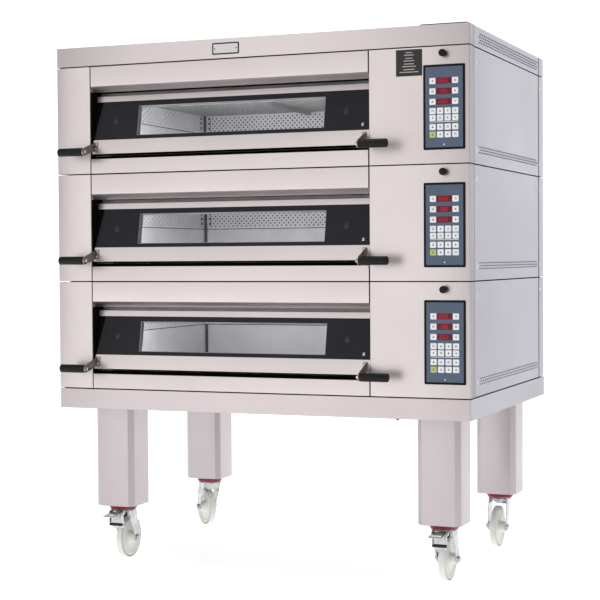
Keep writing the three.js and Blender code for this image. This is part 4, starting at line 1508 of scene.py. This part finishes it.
def baffles(bm):
    """Perforated sheets in front of the upper part of the chamber's back and side walls."""
    stand_up = Matrix.Rotation(math.pi / 2, 4, "X")
    back = Matrix.Translation((0, guard.y1 - BAFFLE_GAP, 0)) @ stand_up
    placed(bm, back, perforated, guard.x0 + BAFFLE_GAP, guard.x1 - BAFFLE_GAP,
           BAFFLE_SPLIT, BAFFLE_TOP, 0, 1.5, BAFFLE_PITCH)
    for x in (guard.x0 + 2, guard.x1 - 2 - 1.5):
        side = Matrix.Translation((x, 0, 0)) @ Matrix.Rotation(math.pi / 2, 4, "Z") @ stand_up
        placed(bm, side, perforated, guard.y0 + 24, guard.y1 - BAFFLE_GAP - 12,
               BAFFLE_SPLIT, BAFFLE_TOP, 0, 1.5, SIDE_BAFFLE_PITCH)


def plain_baffles(bm):
    """The plain sheets below the perforated ones."""
    top = BAFFLE_SPLIT - 3
    back = guard.y1 - BAFFLE_GAP
    slab(bm, (guard.x0 + BAFFLE_GAP, back - 1.5, BAFFLE_BOTTOM),
         (guard.x1 - BAFFLE_GAP, back, top))
    for x in (guard.x0 + 2, guard.x1 - 3.5):
        slab(bm, (x, guard.y0 + 24, BAFFLE_BOTTOM), (x + 1.5, back - 12, top))


def baffle_posts(bm):
    """Near-black posts in the chamber's rear corners, and near-black sheets behind the baffles: painted
    shade in the corners and in the space behind the baffles.
    """
    back = guard.y1 - BAFFLE_GAP
    for x in (guard.x0, guard.x1 - 10):
        slab(bm, (x, back - 10, BAFFLE_BOTTOM), (x + 10, back + 4, BAFFLE_TOP))
    slab(bm, (guard.x0 + 10, back + 6, BAFFLE_BOTTOM),
         (guard.x1 - 10, back + 8, BAFFLE_TOP))
    for x in (guard.x0 + 0.2, guard.x1 - 1.2):
        slab(bm, (x, guard.y0 + 24, BAFFLE_BOTTOM), (x + 1, back - 12, BAFFLE_TOP))


# ---------------------------------------------------------------- deck: assembly

def add_deck(level):
    origin = deck_origin(level)
    at = Matrix.Translation(origin)
    lift = Matrix.Translation((0, 0, origin.z - first.z))
    door_at = lift @ DOOR_TO_ROW
    door, body = f"{level}_door", "oven_body"

    def add(name, build, material, slot, on=body, place=at, bevel=0.0, replaces=(), args=()):
        nodes = [f"{level}_{node}" for node in replaces]
        piece(f"{level}_{name}", mesh_of(build, *args), mat[material], slot, on, place, bevel, nodes)

    add("side_panels", side_panels, "side", "side_steel", bevel=0.8, replaces=["outer_casing"],
        args=(DECK_TOP,))
    add("back_wrap", back_wrap, "side", "side_steel", bevel=0.8, args=(DECK_TOP,))
    add("joint_backing", joint_backing, "dark", "black_enamel", args=(DECK_TOP,))
    add("seam_plates", seam_seats, "dark", "black_enamel")
    # white key material on zinc screws: painted highlights
    add("casing_screws", casing_screws, "key", "zinc")
    add("louvres", louvre_hoods, "side", "side_steel", args=(46, 3))
    add("louvre_slots", louvre_slots, "dark", "black_enamel", args=(46, 3))

    add("posts", front_posts, "upright", "stainless", bevel=0.6, replaces=["front_frame"])
    # painted shade: the flanges get a darker copy of the front steel
    add("flanges", front_flanges, "flange", "stainless", args=(DECK_TOP,))
    add("recess_liners", recess_liners, "dark", "black_enamel")
    add("sill_panel", lower_panel, "front", "stainless", bevel=0.5)
    add("recess_rail", recess_rail, "dark", "stainless")
    add("header", header_box, "front", "stainless", bevel=0.5, replaces=["header_panel"])
    add("lip_seal", lip_seal, "dark", "door_gasket")
    add("hinge_bushings", hinge_bushings, "zinc", "zinc")

    add("panel_bezel", panel_bezel, "bezel", "black_plastic", bevel=0.5,
        replaces=["control_panel"])
    add("panel_film", panel_film, "membrane", "membrane")
    add("white_keys", white_keys, "key", "key_white")
    add("green_key", green_key, "green_key", "key_white")
    add("key_symbols", key_symbols, "icon", "membrane")
    add("divider_line", divider_line, "key", "key_white")
    add("status_lamp", status_lamp, "key", "key_white")
    add("display_windows", display_windows, "display", "display_red")
    add("display_digits", display_digits, "digit", "display_red")

    add("knob_cap", knob_body, "grip", "black_plastic", f"{level}_knob", replaces=["damper_knob"])
    add("knob_rod", knob_rod, "zinc", "zinc", f"{level}_knob")
    add("knob_washer", knob_escutcheon, "bolt", "black_plastic")

    add("door_upper_strip", strip_upper, "front", "stainless", door, door_at, 0.4,
        ["door_panel"])
    add("door_lower_strip", strip_lower, "front", "stainless", door, door_at, 0.4)
    add("door_face", face_panel, "enamel", "black_enamel", door, door_at, 0.4)
    add("door_face_backing", face_backing, "dark", "black_enamel", door, door_at)
    add("door_heat_strip", door_heat_strip, "dark", "black_enamel", door, door_at)
    add("door_walls", door_walls, "upright", "stainless", door, door_at)
    add("door_liner", door_liner, "chamber", "chamber_steel", door, door_at, 0.4)
    add("window_frame", window_frame, "rim", "stainless", door, door_at, 0.3)
    add("door_outer_pane", pane, "glass", "window_glass", door, door_at, 0.0, ["door_glass"],
        (pane_low.y, pane_high.y))
    add("door_inner_pane", pane, "glass", "window_glass", door, door_at,
        args=(DOOR_THICKNESS - 6, DOOR_THICKNESS - 2.3))
    add("door_gasket", door_gasket, "gasket", "door_gasket", door, door_at)
    add("door_bolts", door_bolts, "bolt", "black_plastic", door, door_at)
    add("door_screw", door_screw, "zinc", "zinc", door, door_at)
    add("door_pins", door_pins, "zinc", "zinc", door, door_at)
    for side in ("left", "right"):
        add(f"{side}_bracket", handle_bracket, "bracket", "stainless", door, at, 0.8,
            args=(side,))
        add(f"{side}_handle_screws", handle_screws, "zinc", "zinc", door, at, args=(side,))
        add(f"{side}_grip", handle_grip, "grip", "black_plastic", door, at, 0.0,
            [f"{side}_handle"], (side,))

    add("guard_panels", guard_panels, "guard", "chamber_steel", replaces=["element_guard"])
    add("baffles", baffles, "chamber", "chamber_steel")
    add("plain_baffles", plain_baffles, "chamber", "chamber_steel", bevel=0.4)
    add("baffle_posts", baffle_posts, "dark", "black_enamel")
    add("guard_frame", guard_frame, "guard", "chamber_steel", bevel=0.4)
    for node, material in (
        ("baking_chamber", "chamber"), ("hearth_stone", "stone"), ("heating_elements", "element"),
    ):
        frame["nodes"][f"{level}_{node}"].data.materials[0] = mat[material]


# ---------------------------------------------------------------- label and badge plates

PLATE_RIGHT = panel.x0 - 4
PLATE_TOP = DECK_HEIGHT - 7
PLATE_WIDTH, PLATE_HEIGHT = 93, 90


def warning_plate(bm):
    """A blank black plate beside the upper deck's panel."""
    outline = rounded_rectangle(
        PLATE_RIGHT - PLATE_WIDTH, PLATE_TOP - PLATE_HEIGHT, PLATE_RIGHT, PLATE_TOP, 1.5)
    prism(bm, outline, "y", -0.9, 0)


def warning_bars(bm):
    """Plain bars where the plate's lines stood, in four pairs, with no lettering."""
    centre = PLATE_RIGHT - PLATE_WIDTH / 2
    lengths = (24, 36, 26, 38, 36, 50, 40, 68)
    for i, length in enumerate(lengths):
        z = PLATE_TOP - (9 + 8.6 * i + 1.9 * (i // 2))
        half = length / 2
        prism(bm, rounded_rectangle(centre - half, z - 3, centre + half, z, 0.8, 2),
              "y", -1.1, -0.7)


BADGE_LEFT, BADGE_RIGHT = 639, 744
BADGE_HALF = 21


def badge_outline(margin, radius):
    centre = (cap.z1 - cap.z0) / 2
    box = (BADGE_LEFT, centre - BADGE_HALF, BADGE_RIGHT, centre + BADGE_HALF)
    return inset(box, margin, radius)


def badge_plate(bm):
    """The black plate of the blank badge on the cap."""
    prism(bm, badge_outline(0, 4), "y", -0.9, 0)


def badge_field(bm):
    """The bright blank field on the badge."""
    prism(bm, badge_outline(5, 2), "y", -1.3, -0.7)


def badge_rivets(bm):
    centre = (cap.z1 - cap.z0) / 2
    for x in (BADGE_LEFT + 11, BADGE_RIGHT - 11):
        spin(bm, (0, -1, 0), (x, -1.2, centre), [(2.4, 0), (2, 0.8), (0.8, 1.2), (0, 1.2)], 20)


# ---------------------------------------------------------------- roof
# Drawn from the seam on top of the upper deck.

ROOF_ORIGIN = deck_origin("upper") + Vector((0, 0, DECK_HEIGHT))
cap = Box("top_cap", ROOF_ORIGIN)
cover = Box("roof_cover", ROOF_ORIGIN)


def cap_front(bm):
    """The cap's folded front, rounded at both corners."""
    fold = EDGE_RADIUS + 1
    outline = fillet([
        (0, fold), (0, 0, EDGE_RADIUS), (WIDTH, 0, EDGE_RADIUS), (WIDTH, fold),
        (WIDTH - SHEET, fold), (WIDTH - SHEET, SHEET), (SHEET, SHEET), (SHEET, fold),
    ])
    prism(bm, outline, "z", SEAM, cap.z1)


def cap_top(bm):
    """The roof sheet, set inside the cap's walls."""
    prism(bm, rounded_rectangle(1, 1, WIDTH - 3, DEPTH - 1, 3),
          "z", cap.z1 - 3, cap.z1 - 0.4)


def cover_plate(bm):
    """The low plate over the cable entry, with its edges turned down."""
    plan = (cover.x0, cover.y0, cover.x1, cover.y1)
    edge = 1.5
    loft(bm, "z", [
        (inset(plan, 0, 6), cover.z0), (inset(plan, 0, 6), cover.z1 - edge),
        (inset(plan, edge, 5), cover.z1 - 0.4),
    ])


def cover_screws(bm):
    for x in (cover.x0 + 12, cover.x1 - 12):
        for y in (cover.y0 + 14, cover.y1 - 14):
            placed(bm, facing((0, 0, 1), (x, y, cover.z1 - 1.4)), button_screw, 4, 1.4)


def add_roof():
    at = Matrix.Translation(ROOF_ORIGIN)

    def add(name, build, material, slot, bevel=0.0, replaces=(), args=()):
        piece(name, mesh_of(build, *args), mat[material], slot, "oven_body", at, bevel, replaces)

    add("cap_front", cap_front, "front", "stainless", 0.8, ["top_cap"])
    # painted shade: the flanges get a darker copy of the front steel
    add("cap_flanges", front_flanges, "flange", "stainless", args=(cap.z1,))
    add("cap_sides", side_panels, "side", "side_steel", 0.8, args=(cap.z1,))
    add("cap_back", back_wrap, "side", "side_steel", 0.8, args=(cap.z1,))
    add("cap_joint_backing", joint_backing, "dark", "black_enamel", args=(cap.z1,))
    add("cap_top", cap_top, "front", "stainless", 0.5)
    # the seat under the cap, near-black: painted shade in the seam
    add("cap_seat", seat, "dark", "black_enamel", args=(0.1, SEAM + 1))
    add("cap_louvres", louvre_hoods, "side", "side_steel", args=(24, 4))
    add("cap_louvre_slots", louvre_slots, "dark", "black_enamel", args=(24, 4))
    add("badge_plate", badge_plate, "label", "black_plastic", 0.2)
    add("badge_field", badge_field, "plate", "stainless", 0.2)
    add("badge_rivets", badge_rivets, "bolt", "black_plastic")
    add("roof_cover_plate", cover_plate, "enamel", "black_enamel", 0.3, ["roof_cover"])
    add("roof_cover_screws", cover_screws, "bolt", "black_plastic")


# ---------------------------------------------------------------- scene

def clear_from_behind(surface):
    """Makes a one-sided backdrop: it can be looked through from its back."""
    behind = surface.node("NewGeometry").outputs["Backfacing"]
    clear = surface.node("BsdfTransparent").outputs["BSDF"]
    surface.finish(behind, surface.shader.outputs["BSDF"], clear)


def add_floor():
    bm = bmesh.new()
    reach, back, radius, wall_top = 14, 3.2, 1.6, 9
    profile = [(-reach, 0)] + arc((back, radius), radius, -90, 0, 20) + [(back + radius, wall_top)]
    rows = [[bm.verts.new((x, y, z)) for x in (-reach, reach)] for y, z in profile]
    for low, high in zip(rows, rows[1:]):
        bm.faces.new((low[0], low[1], high[1], high[0]))
    mesh = bpy.data.meshes.new("floor")
    bm.to_mesh(mesh)
    bm.free()
    mesh.shade_smooth()
    surface = Surface("pale floor", Emission_Strength=0.58)
    clouds = surface.noise(1.5, detail=3)
    white = surface.ramp(clouds, srgb(246, 246, 246), srgb(251, 251, 251))
    surface.fill(surface.shader, {"Base Color": white, "Emission Color": white})
    surface.roughness(clouds, 0.6, 0.75)
    clear_from_behind(surface)
    mesh.materials.append(surface.material)
    floor = bpy.data.objects.new("floor", mesh)
    bpy.context.scene.collection.objects.link(floor)


def area_light(name, at, target, size, power, color=(1, 1, 1), hidden=False):
    light = bpy.data.lights.new(name, "AREA")
    light.shape = "RECTANGLE"
    light.size, light.size_y = size
    light.energy = power
    light.color = color
    made = bpy.data.objects.new(name, light)
    made.location = at
    made.rotation_euler = (Vector(target) - Vector(at)).to_track_quat("-Z", "Y").to_euler()
    bpy.context.scene.collection.objects.link(made)
    if hidden:
        made.visible_camera = False
        made.visible_glossy = False
    return made


def add_lights():
    """One big soft box for the front, a softer one over the roof, and a lamp in each chamber."""
    world = bpy.data.worlds.new("studio")
    world.use_nodes = True
    background = world.node_tree.nodes["Background"]
    background.inputs["Color"].default_value = (1, 1, 1, 1)
    background.inputs["Strength"].default_value = 0.3
    scene = bpy.context.scene
    scene.world = world
    scene.view_settings.view_transform = "Standard"
    area_light("front box", (-1.9, -5.2, 2.35), (-0.1, 0, 1.4), (4.6, 4.6), 58, (1, 0.985, 0.985))
    area_light("top box", (0, -0.6, 4.8), (0, 0, 0), (4.0, 3.4), 70)
    for level in LEVELS:
        at = (deck_origin(level) + Vector((WIDTH * 0.43, 110, 170))) * MM
        area_light(f"{level} oven lamp", at, at + Vector((0, 1, 0)), (0.85, 0.06), 14,
                   (1, 0.97, 1), hidden=True)


def add_camera():
    """The photograph's viewpoint, given from the oven's left front corner at the lowest seam."""
    focal_pixels, image_width, sensor = 1538.95, 600, 36
    yaw, pitch, roll = 0.3843, 0.0279, -0.0065
    camera = bpy.data.cameras.new("camera")
    camera.sensor_width = sensor
    camera.lens = focal_pixels * sensor / image_width
    made = bpy.data.objects.new("camera", camera)
    bpy.context.scene.collection.objects.link(made)
    forward = Vector((
        -math.sin(yaw) * math.cos(pitch), math.cos(yaw) * math.cos(pitch), -math.sin(pitch)))
    right = forward.cross(Vector((0, 0, 1))).normalized()
    up = right.cross(forward)
    turn = Matrix((right, up, -forward)).transposed() @ Matrix.Rotation(roll, 3, "Z")
    position = first * MM + Vector((2.9928, -4.9998, 0.4828))
    made.matrix_world = Matrix.Translation(position) @ turn.to_4x4()
    bpy.context.scene.camera = made


add_stand()
for caster_corner in CORNERS:
    add_caster(caster_corner)
for deck_level in LEVELS:
    add_deck(deck_level)
add_roof()
for plate_name, build_plate, plate_material, plate_slot in (
    ("upper_warning_plate", warning_plate, "label", "black_plastic"),
    ("upper_warning_bars", warning_bars, "print", "key_white"),
):
    piece(plate_name, mesh_of(build_plate), mat[plate_material], plate_slot, "oven_body",
          Matrix.Translation(deck_origin("upper")))
add_floor()
add_lights()
add_camera()
